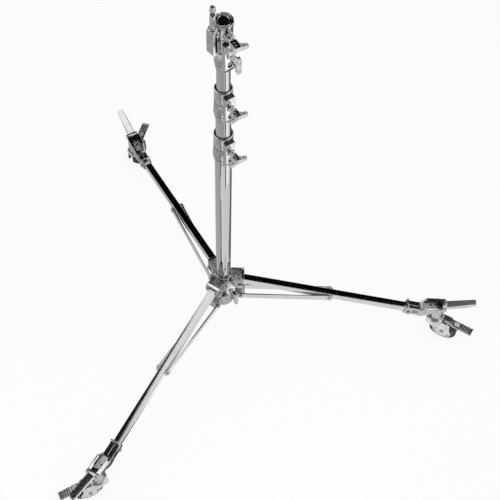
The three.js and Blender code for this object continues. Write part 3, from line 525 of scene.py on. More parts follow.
def plate(outline, low, high):
    """A plate with its outline in the XY plane."""
    made = bmesh.new()
    under = [made.verts.new((x, y, low)) for x, y in outline]
    over = [made.verts.new((x, y, high)) for x, y in outline]
    made.faces.new(under)
    made.faces.new(over)
    for k in range(len(outline)):
        i = (k + 1) % len(outline)
        made.faces.new((under[k], under[i], over[i], over[k]))
    bmesh.ops.recalc_face_normals(made, faces=made.faces)
    return made


def side_plate(outline, low, high):
    """A plate with its outline in the XZ plane, between two places along Y."""
    return moved(plate(outline, -high, -low), turn=SIDEWAYS)


def bar(radius, low, high, turn=None, place=(0, 0, 0), edge=0.5, sides=32):
    """A round bar between two places along its axis, Z unless it is turned."""
    rod = turned([(0, low), (radius, low), (radius, high), (0, high)], edge=edge, sides=sides)
    return moved(rod, place, turn)


def arc(x, y, radius, start, stop, steps=12):
    """Points of an arc, its angles in degrees."""
    return [
        (x + radius * cos(radians(start + (stop - start) * k / steps)),
         y + radius * sin(radians(start + (stop - start) * k / steps)))
        for k in range(steps + 1)
    ]


def rounded(width, height, radius, x=0, y=0, steps=6):
    """A rectangle with round corners."""
    w, h = width / 2 - radius, height / 2 - radius
    return (arc(x + w, y + h, radius, 0, 90, steps) + arc(x - w, y + h, radius, 90, 180, steps)
            + arc(x - w, y - h, radius, 180, 270, steps) + arc(x + w, y - h, radius, 270, 360, steps))


def spun(azimuth):
    return Matrix.Rotation(radians(azimuth), 4, "Z")


overrun = 3
collar_tops = [1003, 1206, 1418]
collar_height, collar_throat = 127, 12
collar_skin, collar_ring, collar_flare, collar_foot = 3.2, 3.9, 5.8, 2
mouth_round, mouth_lip, throat_lead = 2.5, 2, 4
groove_drop, groove_width, groove_depth = 54, 3, 1.9
flare_drop, flare_band, ring_height = 101, 5.5, 11
flare_groove, flare_groove_depth, flare_inset = 2.6, 1.7, 0.6
foot_shade, foot_step, finish_margin = 2.2, 0.3, 0.5
boss_width, boss_reach, boss_chamfer, boss_clear = 31, 13, 1.2, 0.8
pocket_length, pocket_width, pocket_corner = 24, 16, 7.7
pocket_depth, pocket_lift = 7, 3
nut_radius, nut_bore, nut_back, nut_front = 6.6, 3.2, 6.6, 1.8
face_ring_radius, face_ring_depth = 11.2, 1.2
screw_hole_radius, screw_hole_depth = 4.6, 9.4
key_drop, key_azimuth = 54, -57
screw_radius, screw_length = 4, 9
casting_skin = surface(
    "casting_skin", (0.58, 0.59, 0.595), (0.42, 0.43, 0.435), 1, (0.07, 0.15), 60, 300, 0.14
)
# Recess finish, near black: painted shade in grooves, pockets, bores and sockets, over the dull metal that
# plating hardly reaches.
recess_painted_shade = surface(
    "recess_painted_shade", (0.060, 0.062, 0.064), (0.022, 0.023, 0.024), 0.6, (0.35, 0.55), 90, 500, 0.3
)
ground_face = surface(
    "ground_face", (0.93, 0.935, 0.94), (0.80, 0.81, 0.815), 1, (0.08, 0.16), 80, 420, 0.08
)
satin_face = surface(
    "satin_face", (0.86, 0.865, 0.87), (0.66, 0.67, 0.675), 1, (0.38, 0.52), 110, 480, 0.3
)
plated_casting = (casting_skin, recess_painted_shade, ground_face, satin_face)


def collar(tube_radius, riser_radius):
    skin, ring = tube_radius + collar_skin, tube_radius + collar_ring
    seat, throat = tube_radius + seat_gap, riser_radius + seat_gap
    groove, groove_foot = skin - groove_depth, -groove_drop - groove_width
    flare, foot = tube_radius + collar_flare, tube_radius + collar_foot
    undercut, undercut_foot = flare - flare_groove_depth, -flare_drop - flare_groove
    sleeve = turned([
        (seat, -collar_height), (foot, -collar_height),
        (foot + foot_step, -collar_height + foot_shade), (flare - flare_inset, undercut_foot),
        (undercut, undercut_foot), (undercut, -flare_drop), (flare, -flare_drop),
        (flare, -flare_drop + flare_band), (skin, groove_foot), (groove, groove_foot),
        (groove, -groove_drop), (skin, -groove_drop), (skin, -ring_height),
        (ring, -ring_height), (ring, -mouth_round), (ring - mouth_round, 0),
        (throat + mouth_lip, 0), (throat, -throat_lead), (throat, -collar_throat),
        (seat, -collar_throat),
    ], edge=0.9)
    groove_middle, half_groove = -groove_drop - groove_width / 2, groove_width / 2 + finish_margin
    # The collar's groove, the band at its foot and its flare's undercut are painted near black as shade.
    marked(sleeve, PAINTED_SHADE, lambda centre, normal: abs(centre.z - groove_middle) < half_groove
           and centre.xy.length < skin - finish_margin)
    marked(sleeve, PAINTED_SHADE, lambda centre, normal: centre.z < -collar_height + foot_shade
           or undercut_foot <= centre.z <= -flare_drop)
    front, inner = tube_radius + boss_reach, tube_radius - tube_wall
    boss_top = -ring_height - groove_width
    boss = softened(side_plate([
        (inner, boss_top), (front - boss_chamfer, boss_top), (front, boss_top - boss_chamfer),
        (front, -flare_drop), (skin, -collar_height), (inner, -collar_height),
    ], -boss_width / 2, boss_width / 2), 0.8, steps=3)
    boss = cut(boss, bar(seat + boss_clear, -collar_height - overrun, 0, edge=0, sides=ROUND))
    marked(boss, GROUND, lambda centre, normal: normal.x > 0.9)
    # The boss's top is painted near black as shade.
    marked(boss, PAINTED_SHADE, lambda centre, normal: normal.z > 0.9)
    # The nut pocket and the face ring round the screw hole are painted near black as shade.
    pocket_height = pocket_lift - (key_drop + collar_height) / 2
    pocket = plate(rounded(pocket_length, pocket_width, pocket_corner), 0, 4 * overrun)
    pocket = marked(moved(pocket, (front - pocket_depth, 0, pocket_height), ALONG_X), PAINTED_SHADE)
    at_screw = (0, 0, -key_drop)
    whole = cut(
        joined(sleeve, boss), pocket,
        bar(screw_hole_radius, front - screw_hole_depth, front + overrun, ALONG_X, at_screw, edge=0),
        marked(bar(face_ring_radius, front - face_ring_depth, front + overrun, ALONG_X, at_screw,
                   edge=0, sides=48), PAINTED_SHADE),
    )
    nut = turned([
        (nut_bore, -nut_back), (nut_radius, -nut_back), (nut_radius, -nut_front),
        (nut_bore, -nut_front),
    ], sides=6)
    return joined(whole, moved(nut, (front, 0, pocket_height), ALONG_X))


# Clamp keys: plated T handles cast on a steel screw, with two core pockets in each side of the
# shank, and wings that spread and get thinner towards their tips.
key_stem_radius, key_stem_length, key_thickness = 7.5, 12, 15
key_half, key_reach = 29, 44
shank_half, shank_start, shank_end = 10, 11.7, 22
wing_sweep, wing_rise = 9.5, 14.5
core_places, core_length, core_corner = (16.4, 25.2), 7, 1
tip_hole_radius, tip_hole_reach, tip_hole_side = 2.2, 38.2, 17
stem_flange_radius, stem_flange = 9.6, 3
wing_thinning = [(8, 7.5), (34, 4.1), (34, 12), (8, 12)]


def clamp_key():
    quarter = [(shank_start, shank_half), (shank_end, shank_half)]
    quarter += [
        (shank_end + wing_sweep * sin(radians(a)), shank_half + wing_rise * (1 - cos(radians(a))))
        for a in (20, 40, 60, 80)
    ]
    quarter += [(32.6, 28), (34.5, key_half), (41, key_half), (key_reach - 0.6, 27.6)]
    quarter += [(43, 20), (41.4, 12), (40.6, 5)]
    outline = [(x, -y) for x, y in quarter] + [(40.4, 0)] + [(x, y) for x, y in reversed(quarter)]
    handle = plate(outline, -key_thickness / 2, key_thickness / 2)
    # The core pockets' walls are painted near black as shade; their floors take the satin finish.
    for x in core_places:
        for side in (1, -1):
            place = (x + core_length / 2, 0, side * (key_thickness / 2 - 1))
            core = plate(rounded(core_length, core_length, core_corner), -overrun, overrun)
            core = marked(moved(core, place), PAINTED_SHADE)
            handle = cut(handle, marked(core, SATIN, lambda centre, normal: abs(normal.z) > 0.9))
    for side in (1, -1):
        place = (tip_hole_reach, side * tip_hole_side, 0)
        handle = cut(handle, bar(tip_hole_radius, -9, 9, place=place, edge=0, sides=20))
    for flip in (1, -1):
        for side in (1, -1):
            wedge = plate([(flip * y, side * z) for y, z in wing_thinning], -5, 60)
            handle = cut(handle, marked(moved(wedge, turn=ACROSS), SATIN))
    softened(handle, 0.9, steps=3)
    stem = turned([
        (0, seat_gap), (stem_flange_radius, seat_gap), (stem_flange_radius, stem_flange),
        (key_stem_radius, stem_flange + 1.4), (key_stem_radius, key_stem_length),
        (0, key_stem_length),
    ], edge=0.5, sides=48)
    screw = bar(screw_radius, -screw_length, key_stem_length)
    return joined(handle, moved(stem, turn=ALONG_X), moved(screw, turn=ALONG_X))


collar_bodies = ["column_base", "riser_1", "riser_2"]
key_rolls = [0, 0, 90]
for k, top in enumerate(collar_tops):
    turn = Matrix.Translation((0, 0, top)) @ spun(key_azimuth)
    casting = collar(tube_radii[k], tube_radii[k + 1])
    casting.transform(turn)
    made_piece(f"collar_{k + 1}_cast", casting, collar_bodies[k],
               plated_casting, [f"collar_{k + 1}"])
    key = clamp_key()
    key.transform(turn @ Matrix.Translation((tube_radii[k] + boss_reach, 0, -key_drop))
                  @ Matrix.Rotation(radians(key_rolls[k]), 4, "X"))
    made_piece(f"collar_{k + 1}_key_cast", key, f"collar_{k + 1}_key",
               plated_casting, [f"collar_{k + 1}_key"])

# Head: a plated socket casting, screwed on the last riser. Its stepped rim is split by a slot,
# and a round boss on its side takes the clamp key that holds a lamp's 28.6 mm pin.
rim = 1466.3
head_height, head_radius, head_body = 48, 26.5, 24.5
head_lip, head_step = 9, 2.4
rim_rounding, rim_line, rim_line_inner, rim_line_depth = 0.9, 4.4, 6, 0.7
socket_radius, socket_seat, socket_lead = 14.3, 16, 1.6
head_key_drop, head_key_azimuth, head_boss_reach, head_boss_radius = 32, -62, 12, 13
head_ring_radius, head_ring_depth = 9.8, 1
slit_inner, slit_outer, slit_half, slit_azimuth = 11, 30, 1.6, 112
fixing_azimuths, fixing_drop, fixing_radius, fixing_hole, fixing_depth = (30, 150, 205), 24, 3.6, 4.2, 1.4
head_seat = tube_radii[3] + seat_gap
casting = turned([
    (head_seat, -head_height), (head_body - head_step, -head_height),
    (head_body, -head_height + head_step), (head_body, -head_lip - head_step),
    (head_radius, -head_lip), (head_radius, -rim_rounding), (head_radius - rim_rounding, 0),
    (head_radius - rim_line, 0), (head_radius - rim_line - 0.4, -rim_line_depth),
    (head_radius - rim_line_inner + 0.4, -rim_line_depth), (head_radius - rim_line_inner, 0),
    (socket_radius + socket_lead, 0), (socket_radius, -socket_lead),
    (socket_radius, -socket_seat), (head_seat, -socket_seat),
], edge=0.3)
marked(casting, GROUND, lambda centre, normal: centre.z > -0.8)
# The socket's bore is painted near black as shade.
marked(casting, PAINTED_SHADE, lambda centre, normal: centre.xy.length < socket_radius + 1 and normal.z < 0.5)
face = head_body + head_boss_reach
at_screw = (0, 0, -head_key_drop)
boss = bar(head_boss_radius, head_seat + 2, face, ALONG_X, at_screw, 1.4, 64)
boss = cut(boss, bar(head_seat + 1, -60, 0, edge=0, sides=ROUND))
ring_cut = bar(head_ring_radius, face - head_ring_depth, face + overrun, ALONG_X, at_screw, 0, 48)
screw_hole = bar(screw_hole_radius, face - screw_hole_depth, face + overrun, ALONG_X, at_screw, 0)
slit = plate([
    (slit_inner, -slit_half), (slit_outer, -slit_half), (slit_outer, slit_half),
    (slit_inner, slit_half),
], -head_lip, overrun)
slit = moved(slit, turn=spun(slit_azimuth))
for tool in (boss, ring_cut, screw_hole):
    tool.transform(spun(head_key_azimuth))
casting = cut(joined(casting, boss), ring_cut, screw_hole, slit)
# Three countersunk screws round the body hold the head to the riser.
for azimuth in fixing_azimuths:
    at_fixing = (0, 0, -fixing_drop)
    hole = bar(fixing_hole, head_body - fixing_depth, head_body + overrun, ALONG_X, at_fixing, 0, 24)
    hole.transform(spun(azimuth))
    casting = cut(casting, hole)
    screw = turned([
        (0, -2), (fixing_radius, -2), (fixing_radius, -0.6), (1.6, -0.6), (1.6, -1.5), (0, -1.5),
    ], edge=0.2, sides=24)
    place = Matrix.Translation((head_body + 0.4, 0, -fixing_drop))
    screw.transform(spun(azimuth) @ place @ ALONG_X)
    casting = joined(casting, screw)
casting.transform(Matrix.Translation((0, 0, rim)))
made_piece("head_cast", casting, "riser_3", plated_casting, ["head"])
key = clamp_key()
key.transform(Matrix.Translation((0, 0, rim)) @ spun(head_key_azimuth)
              @ Matrix.Translation((face, 0, -head_key_drop)))
made_piece("head_key_cast", key, "head_key", plated_casting, ["head_key"])

# Side spigot: a turned 16 mm stud with a waist for a lamp's screw. It slides in a block cast
# on the head's side, and its guide screw runs in the block's slot.
spigot_azimuth, spigot_reach = -137, 35.5
spigot_place = (Matrix.Translation((0, 0, rim)) @ spun(spigot_azimuth)
                @ Matrix.Translation((spigot_reach, 0, 0)))
holder_width, holder_half_depth = 25, 11
holder_drop, holder_top, holder_corner = 95, 10, 11
holder_bore, holder_slot_width, holder_slot_length, holder_slot_drop = 8.3, 7, 70, 48.5
cap_radius, cap_drop, cap_shoulder = 13.5, 13, 3
spigot_radius, spigot_top, spigot_bottom = 8, 72, -28
waist_radius, waist_low, waist_high = 6, 46, 57
guide_radius, guide_reach, guide_drop = 3, 12.5, 24
outline = [(-holder_half_depth, -holder_top), (-holder_half_depth, -holder_drop)]
outline += arc(holder_half_depth - holder_corner, -holder_drop + holder_corner, holder_corner, 270, 360, 10)
outline += [(holder_half_depth, -holder_top)]
block = softened(side_plate(outline, -holder_width / 2, holder_width / 2), 1.2, steps=3)
cap = turned([
    (0, -cap_drop), (cap_radius, -cap_drop), (cap_radius, -cap_shoulder), (cap_radius - 1.9, -1),
    (cap_radius - 2.9, 0), (0, 0),
], edge=0.8, sides=64)
marked(block, GROUND, lambda centre, normal: normal.y > 0.9)
marked(cap, SATIN, lambda centre, normal: normal.z > 0.9)
slot = plate(rounded(holder_slot_width, holder_slot_length, 3.2), -25, 0)
# The holder's bore and slot are painted near black as shade.
block = cut(
    joined(block, cap),
    bar(head_radius + 0.6, -head_height, overrun, place=(-spigot_reach, 0, 0), edge=0, sides=ROUND),
    marked(bar(holder_bore, -holder_drop - overrun, overrun, edge=0, sides=64), PAINTED_SHADE),
    marked(moved(slot, (0, 0, -holder_slot_drop), SIDEWAYS), PAINTED_SHADE),
)
block.transform(spigot_place)
made_piece("spigot_holder_cast", block, "riser_3", plated_casting, ["spigot_holder"])
stud = turned([
    (0, spigot_top), (waist_radius, spigot_top), (spigot_radius, spigot_top - 2),
    (spigot_radius, waist_high + 2), (waist_radius, waist_high), (waist_radius, waist_low),
    (spigot_radius, waist_low - 2), (spigot_radius, spigot_bottom), (0, spigot_bottom),
], edge=0.5, sides=64)
# The stud's waist and its hexagon socket are painted near black as shade.
marked(stud, PAINTED_SHADE, lambda centre, normal: waist_low - 1 < centre.z < waist_high + 1)
marked(stud, SATIN, lambda centre, normal: centre.z > spigot_top - 2)
hex_hole = turned([
    (0, spigot_top - 4), (3.4, spigot_top - 4), (3.4, spigot_top + 1), (0, spigot_top + 1),
], edge=0, sides=6)
stud = cut(stud, marked(hex_hole, PAINTED_SHADE))
stud = joined(stud, bar(guide_radius, 0, guide_reach, ALONG_Y, (0, 0, -guide_drop)))
stud.transform(spigot_place)
made_piece("spigot_turned", stud, "spigot",
           (tube_chrome, recess_painted_shade, ground_face, satin_face), ["spigot"])

# Upper hub: the sliding hub, a sand cast sleeve with a forked arm for each leg. The arms' tops
# end in a rounded lip, and a boss in front takes the key that clamps the hub on the tube.
leg_azimuths = [116.93, -3.07, -123.07]
hub_bore, hub_sleeve, hub_neck, hub_bottom, hub_top = 25.3, 31, 28, 112, 189
arm_top, arm_reach, arm_half, arm_chamfer = 178, 72, 25, 3
arm_underside = [(arm_reach, 140), (68, 133), (53, 120)]
cheek_gap, roof_height, roof_start = 13.1, 172, 31.2
hinge_reach, hinge_height = 60, 140
bolt_hole_radius = 5.3
lip_reach, lip_height = 66.5, 178
lip_outline = [(-5.4, -1), (-4.9, 4.6), (-4, 5.4), (4.4, 3.7), (5.4, 2.4), (5.4, -3), (2.4, -5.4),
               (-3.4, -5.4)]
hub_boss_reach, hub_boss_height, hub_key_azimuth = 58, 146, -63.07
hub_boss_low, hub_boss_high, hub_boss_half = 129, 163, 16
hub_ring_radius, hub_ring_depth = 11, 1
cast_hub = surface(
    "cast_hub", (0.60, 0.61, 0.615), (0.16, 0.165, 0.17), 1, (0.18, 0.34), 150, 420, 0.5
)
hub_casting = (cast_hub, recess_painted_shade, ground_face, satin_face)

hub = turned([
    (hub_bore, hub_bottom), (hub_sleeve, hub_bottom), (hub_sleeve, hub_top - 3), (hub_neck, hub_top),
    (hub_bore, hub_top),
], edge=0.9)
for azimuth in leg_azimuths:
    arm = [(hub_bore + 1, arm_top), (arm_reach - arm_chamfer, arm_top), (arm_reach, arm_top - arm_chamfer)]
    arm += arm_underside + [(hub_bore + 1, arm_underside[-1][1])]
    arm = softened(side_plate(arm, -arm_half, arm_half), 2.2, steps=3)
    channel = side_plate([
        (roof_start, 100), (roof_start, roof_height), (80, roof_height), (80, 100),
    ], -cheek_gap, cheek_gap)
    lip = [(lip_reach + x, lip_height + z) for x, z in lip_outline]
    lip = softened(side_plate(lip, -arm_half, arm_half), 0.8, steps=3)
    marked(lip, GROUND, lambda centre, normal: normal.z > 0.9)
    pin = bar(bolt_hole_radius, -40, 40, ALONG_Y, (hinge_reach, 0, hinge_height), edge=0)
    arm = cut(arm, channel, pin, bar(hub_bore + 1, 90, 200, edge=0, sides=ROUND))
    for piece in (arm, lip):
        piece.transform(spun(azimuth))
    hub = joined(hub, arm, lip)
boss = softened(side_plate([
    (hub_bore + 1, hub_boss_low), (hub_boss_reach, hub_boss_low), (hub_boss_reach, hub_boss_high),
    (hub_bore + 1, hub_boss_high),
], -hub_boss_half, hub_boss_half), 3.2, steps=4)
marked(boss, GROUND)
at_screw = (0, 0, hub_boss_height)
face_ring = bar(hub_ring_radius, hub_boss_reach - hub_ring_depth, hub_boss_reach + overrun, ALONG_X,
                at_screw, 0, 48)
# The face ring round the hub's screw hole is painted near black as shade.
marked(face_ring, PAINTED_SHADE)
screw_hole = bar(screw_hole_radius, hub_boss_reach - screw_hole_depth, 70, ALONG_X, at_screw, 0)
for piece in (boss, face_ring, screw_hole):
    piece.transform(spun(hub_key_azimuth))
hub = cut(joined(hub, boss), face_ring, screw_hole, bar(hub_bore, 90, 200, edge=0, sides=ROUND))
made_piece("upper_hub_cast", hub, "upper_hub", hub_casting, ["upper_hub"])
key = clamp_key()
key.transform(spun(hub_key_azimuth) @ Matrix.Translation((hub_boss_reach, 0, hub_boss_height))
              @ Matrix.Rotation(radians(90), 4, "X"))
made_piece("upper_hub_key_cast", key, "upper_hub_key", plated_casting,
           ["upper_hub_key"])

# Lower hub: a sand cast ring with a lug for each pair of straps, fixed at the foot of the base
# tube. The lugs' tops are linished.
brace_reach, brace_height = 63, 52
foot_ring, foot_ring_top, foot_ring_height = 35, 57, 64
lug_half, lug_round = 15.7, 13
low = turned([
    (hub_bore, 0), (foot_ring - 3.5, 0), (foot_ring, 3.5), (foot_ring, foot_ring_top),
    (28.8, foot_ring_height), (hub_bore, foot_ring_height),
], edge=1.2)
for azimuth in leg_azimuths:
    outline = [(27, 26), (56.5, 39)] + arc(brace_reach, brace_height, lug_round, -60, 90, 10)
    outline += [(27, 64.7)]
    lug = side_plate(outline, -lug_half, lug_half)
    marked(lug, SATIN, lambda centre, normal: normal.z > 0.4)
    lug = softened(lug, 1.4, steps=3)
    lug = cut(lug, bar(bolt_hole_radius, -40, 40, ALONG_Y, (brace_reach, 0, brace_height), edge=0))
    lug.transform(spun(azimuth))
    low = joined(low, lug)
low = cut(low, bar(hub_bore, -20, 90, edge=0, sides=ROUND))
made_piece("lower_hub_cast", low, "column_base", hub_casting, ["lower_hub"])

# Legs: chromed steel box tubes with rounded corners, cut square. Each hangs on a plated bolt
# between its arm's cheeks, and another bolt holds its pair of straps to the lower hub's lug.
leg_width, leg_depth, leg_wall, leg_corner = 25, 28, 2, 1.9
leg_start, leg_length, leg_rise, leg_droop = -10, 652, 8, 14.8
bolt_radius = 5
hinge_grip, hinge_head, hinge_head_height = 25.3, 8.5, 6
brace_grip, brace_head, brace_head_height = 21.3, 8, 5
leg_chrome = surface(
    "leg_chrome", (0.70, 0.71, 0.715), (0.62, 0.63, 0.635), 1, (0.06, 0.12), 24, 260, 0.05
)
zinc_plate = surface(
    "zinc_plate", (0.66, 0.665, 0.67), (0.52, 0.525, 0.53), 1, (0.22, 0.36), 70, 500, 0.15
)


def bolt(grip, head, thickness, name, body, place, node):
    """A pan head bolt along Y with a hexagon nut on its far end."""
    shape = turned([
        (0, -grip), (bolt_radius, -grip), (bolt_radius, grip), (head, grip),
        (head, grip + thickness * 0.45), (head * 0.84, grip + thickness * 0.85),
        (head * 0.5, grip + thickness), (0, grip + thickness),
    ], edge=0.4, sides=48)
    nut = turned([
        (0, -grip - thickness), (head * 0.92, -grip - thickness), (head, -grip - thickness * 0.75),
        (head, -grip), (0, -grip),
    ], edge=0.3, sides=6)
    socket = turned([
        (0, grip + thickness * 0.4), (head * 0.42, grip + thickness * 0.4),
        (head * 0.42, grip + thickness + 2), (0, grip + thickness + 2),
    ], edge=0, sides=6)
    # The socket in the bolt's head is painted near black as shade.
    shape = joined(cut(shape, marked(socket, PAINTED_SHADE)), nut)
    shape.transform(place @ ALONG_Y)
    made_piece(name, shape, body, (zinc_plate, recess_painted_shade), [node])


for k, azimuth in enumerate(leg_azimuths):
    at_hinge = spun(azimuth) @ Matrix.Translation((hinge_reach, 0, hinge_height))
    at_lug = spun(azimuth) @ Matrix.Translation((brace_reach, 0, brace_height))
    section = rounded(leg_depth, leg_width, leg_corner)
    hollow = rounded(leg_depth - 2 * leg_wall, leg_width - 2 * leg_wall, 1)
    box_tube = cut(
        moved(plate(section, leg_start, leg_length), (0, 0, leg_rise), ALONG_X),
        moved(plate(hollow, leg_start - overrun, leg_length + overrun), (0, 0, leg_rise), ALONG_X),
        bar(bolt_hole_radius, -30, 30, ALONG_Y, edge=0),
    )
    box_tube.transform(at_hinge @ Matrix.Rotation(radians(leg_droop), 4, "Y"))
    made_piece(f"leg_{k + 1}_box_tube", box_tube, f"leg_{k + 1}", leg_chrome,
               [f"leg_{k + 1}_tube"])
    bolt(hinge_grip, hinge_head, hinge_head_height, f"leg_{k + 1}_hinge_bolt_turned", "upper_hub",
         at_hinge, f"leg_{k + 1}_hinge_bolt")
    bolt(brace_grip, brace_head, brace_head_height, f"brace_{k + 1}_bolt_turned", "column_base",
         at_lug, f"brace_{k + 1}_bolt")

# Brace straps: chromed flat bars in pairs, one on each side of a leg, running from the lower
# hub out to the leg, where each ends on a spacer with a hexagon hole, half of the leg's bolt.
strap_gap, strap_thick, strap_height, strap_length = 16, 5, 26, 313.2
strap_far_height = 64.8
strap_slope = -degrees(asin((strap_far_height - brace_height) / strap_length))
spacer_radius, spacer_inner, spacer_outer = 8, -3.2, 10
for k, azimuth in enumerate(leg_azimuths):
    for side, side_name in ((1, "left"), (-1, "right")):
        half = strap_height / 2
        outline = arc(0, 0, half, 90, 270, 16) + arc(strap_length, 0, half, 270, 450, 16)
        strap = softened(side_plate(outline, 0, strap_thick), 0.6)
        strap = cut(strap, bar(bolt_hole_radius, -9, 9, ALONG_Y, edge=0))
        spacer = turned([
            (0, spacer_inner), (spacer_radius, spacer_inner), (spacer_radius, spacer_outer - 1.6),
            (spacer_radius - 1.2, spacer_outer), (0, spacer_outer),
        ], edge=0.4, sides=40)
        hex_hole = turned([
            (0, spacer_outer - 1), (3.2, spacer_outer - 1), (3.2, spacer_outer + 2),
            (0, spacer_outer + 2),
        ], edge=0, sides=6)
        far_end = (strap_length, 0, 0)
        strap = joined(strap, cut(moved(spacer, far_end, ALONG_Y), moved(hex_hole, far_end, ALONG_Y)))
        if side < 0:
            for vert in strap.verts:
                vert.co.y *= -1
            bmesh.ops.reverse_faces(strap, faces=strap.faces)
        strap.transform(
            spun(azimuth) @ Matrix.Translation((brace_reach, side * strap_gap, brace_height))
            @ Matrix.Rotation(radians(strap_slope), 4, "Y")
        )
        made_piece(f"brace_{k + 1}_{side_name}_strap_cut", strap, f"brace_{k + 1}",
                   leg_chrome, [f"brace_{k + 1}_{side_name}_strap"])

# Caster housings: chromed castings. A ribbed clamp shoe grips the leg's end, the frame has a
# window in its top, and the caster's kingpin turns in the round barrel below it.
swivel_reach, swivel_radius, housing_top, housing_bottom = 775, 24, 20, -63
housing_side = [
    (699, -5.3), (705, -5.3), (730, housing_top), (783, housing_top), (797.7, 4), (797.7, -8),
    (752, -8), (714, -40), (699, -40),
]
housing_waist = [(690, -17.3), (699, -17.3), (730, -swivel_radius), (swivel_reach, -swivel_radius)]
barrel_radius, barrel_top, barrel_lead = 23, -4, 2.5
ear_radius, ear_half, lock_reach, lock_height = 8, 23, 791, 14
window_length, window_width, window_corner, window_reach = 56, 30, 11, 743
lever_slot_start, lever_slot_floor, lever_slot_half = 783.9, 1.5, 14.8
pin_hole_radius, kingpin_hole_radius, kingpin_well_radius = 3.3, 6.3, 12
stud_places, stud_radius, stud_top = (761, 744), 6, 9
shoe_start, shoe_end, shoe_half, shoe_under, shoe_over = 610, 664, 17.3, -10.3, 26.3
shoe_lip, shoe_lip_width, shoe_lip_round = 39.3, 6, 3
shoe_grooves = ((-9.5, 1, 25.5), (0, 1.5, 24.6), (9.5, 1, 25.5))
flute_start, flute_end, flute_top, flute_pitch, flute_half, flute_depth = 638, 658, 20, 7, 2, 0.9
shoe_fit, clamp_radius, clamp_half, clamp_place = 0.3, 7, 22.3, (628, 0, -1)


def caster_housing():
    frame = side_plate(housing_side, -swivel_radius, swivel_radius)
    plan = housing_waist + arc(swivel_reach, 0, swivel_radius, -90, 90, 24)[1:-1]
    plan += [(x, -y) for x, y in reversed(housing_waist)]
    frame = combined(frame, plate(plan, -90, 60), "INTERSECT")
    barrel = turned([
        (0, housing_bottom), (barrel_radius - barrel_lead, housing_bottom),
        (barrel_radius, housing_bottom + barrel_lead), (barrel_radius, barrel_top), (0, barrel_top),
    ], edge=0.6)
    at_lock = (lock_reach, 0, lock_height)
    ears = bar(ear_radius, -ear_half, ear_half, ALONG_Y, at_lock, 1.2, 48)
    marked(frame, GROUND, lambda centre, normal: normal.z > 0.9)
    frame = softened(frame, 1.8, angle=24, steps=3)
    at_swivel = (swivel_reach, 0, 0)
    frame = joined(frame, moved(barrel, at_swivel), ears)
    # The window's walls, the lever slot and the kingpin well are painted near black as shade; the window's
    # floor takes the satin finish.
    window = plate(rounded(window_length, window_width, window_corner), 0, 40)
    window = marked(moved(window, (window_reach, 0, 0)), PAINTED_SHADE)
    marked(window, SATIN, lambda centre, normal: normal.z < -0.9)
    lever_slot = side_plate([
        (lever_slot_start, lever_slot_floor), (lever_slot_start, 50), (840, 50),
        (840, lever_slot_floor),
    ], -lever_slot_half, lever_slot_half)
    frame = cut(
        frame, window, marked(lever_slot, PAINTED_SHADE),
        bar(pin_hole_radius, -30, 30, ALONG_Y, at_lock, 0, 24),
        bar(kingpin_hole_radius, -90, 1, edge=0, place=at_swivel, sides=48),
        marked(bar(kingpin_well_radius, -6, 30, edge=0, place=at_swivel, sides=48), PAINTED_SHADE),
    )
    # Each stud's hexagon socket is painted near black as shade.
    for x in stud_places:
        stud = marked(turned([
            (0, -2), (stud_radius, -2), (stud_radius, stud_top - 1.4), (stud_radius - 1.4, stud_top),
            (0, stud_top),
        ], edge=0.6, sides=40), GROUND)
        hex_hole = turned([
            (0, stud_top - 4), (2.9, stud_top - 4), (2.9, stud_top + overrun), (0, stud_top + overrun),
        ], edge=0, sides=6)
        frame = joined(frame, moved(cut(stud, marked(hex_hole, PAINTED_SHADE)), (x, 0, 0)))
    return frame


def clamp_shoe():
    """The shoe over the leg's end, in the leg's own frame."""
    lip_end, lip_low = shoe_start + shoe_lip_width, shoe_lip - shoe_lip_round
    outline = [
        (shoe_start, shoe_under), (shoe_end, shoe_under), (shoe_end, shoe_over), (lip_end, shoe_over),
        (lip_end, lip_low), (lip_end - 1.5, shoe_lip), (shoe_start + 1.5, shoe_lip),
        (shoe_start, lip_low),
    ]
    shoe = softened(side_plate(outline, -shoe_half, shoe_half), 1.3, steps=3)
    # The middle groove and the flutes on the shoe's sides are painted near black as shade.
    for y, half, depth in shoe_grooves:
        groove = plate([(620, y - half), (670, y - half), (670, y + half), (620, y + half)], depth, 30)
        shoe = cut(shoe, marked(groove, PAINTED_SHADE if y else SATIN))
    for side in (1, -1):
        for n in range(3):
            z = flute_top - flute_pitch * n
            low, high = z - flute_half, z + flute_half
            flute = side_plate(
                [(flute_start, low), (flute_end, low), (flute_end, high), (flute_start, high)],
                side * shoe_half - flute_depth, side * shoe_half + flute_depth,
            )
            shoe = cut(shoe, marked(flute, PAINTED_SHADE))
    hollow = rounded(leg_depth + 2 * shoe_fit, leg_width + 2 * shoe_fit, leg_corner + shoe_fit)
    hollow = moved(plate(hollow, 600, leg_length + 0.4), (0, 0, leg_rise), ALONG_X)
    clamp = turned([
        (0, -clamp_half), (clamp_radius - 0.8, -clamp_half), (clamp_radius, 0.8 - clamp_half),
        (clamp_radius, clamp_half - 0.8), (clamp_radius - 0.8, clamp_half), (0, clamp_half),
    ], edge=0.3, sides=40)
    shoe = joined(shoe, moved(clamp, clamp_place, ALONG_Y))
    hex_hole = turned([(0, 19), (3, 19), (3, 30), (0, 30)], edge=0, sides=6)
    return cut(shoe, hollow, moved(hex_hole, clamp_place, ALONG_Y))


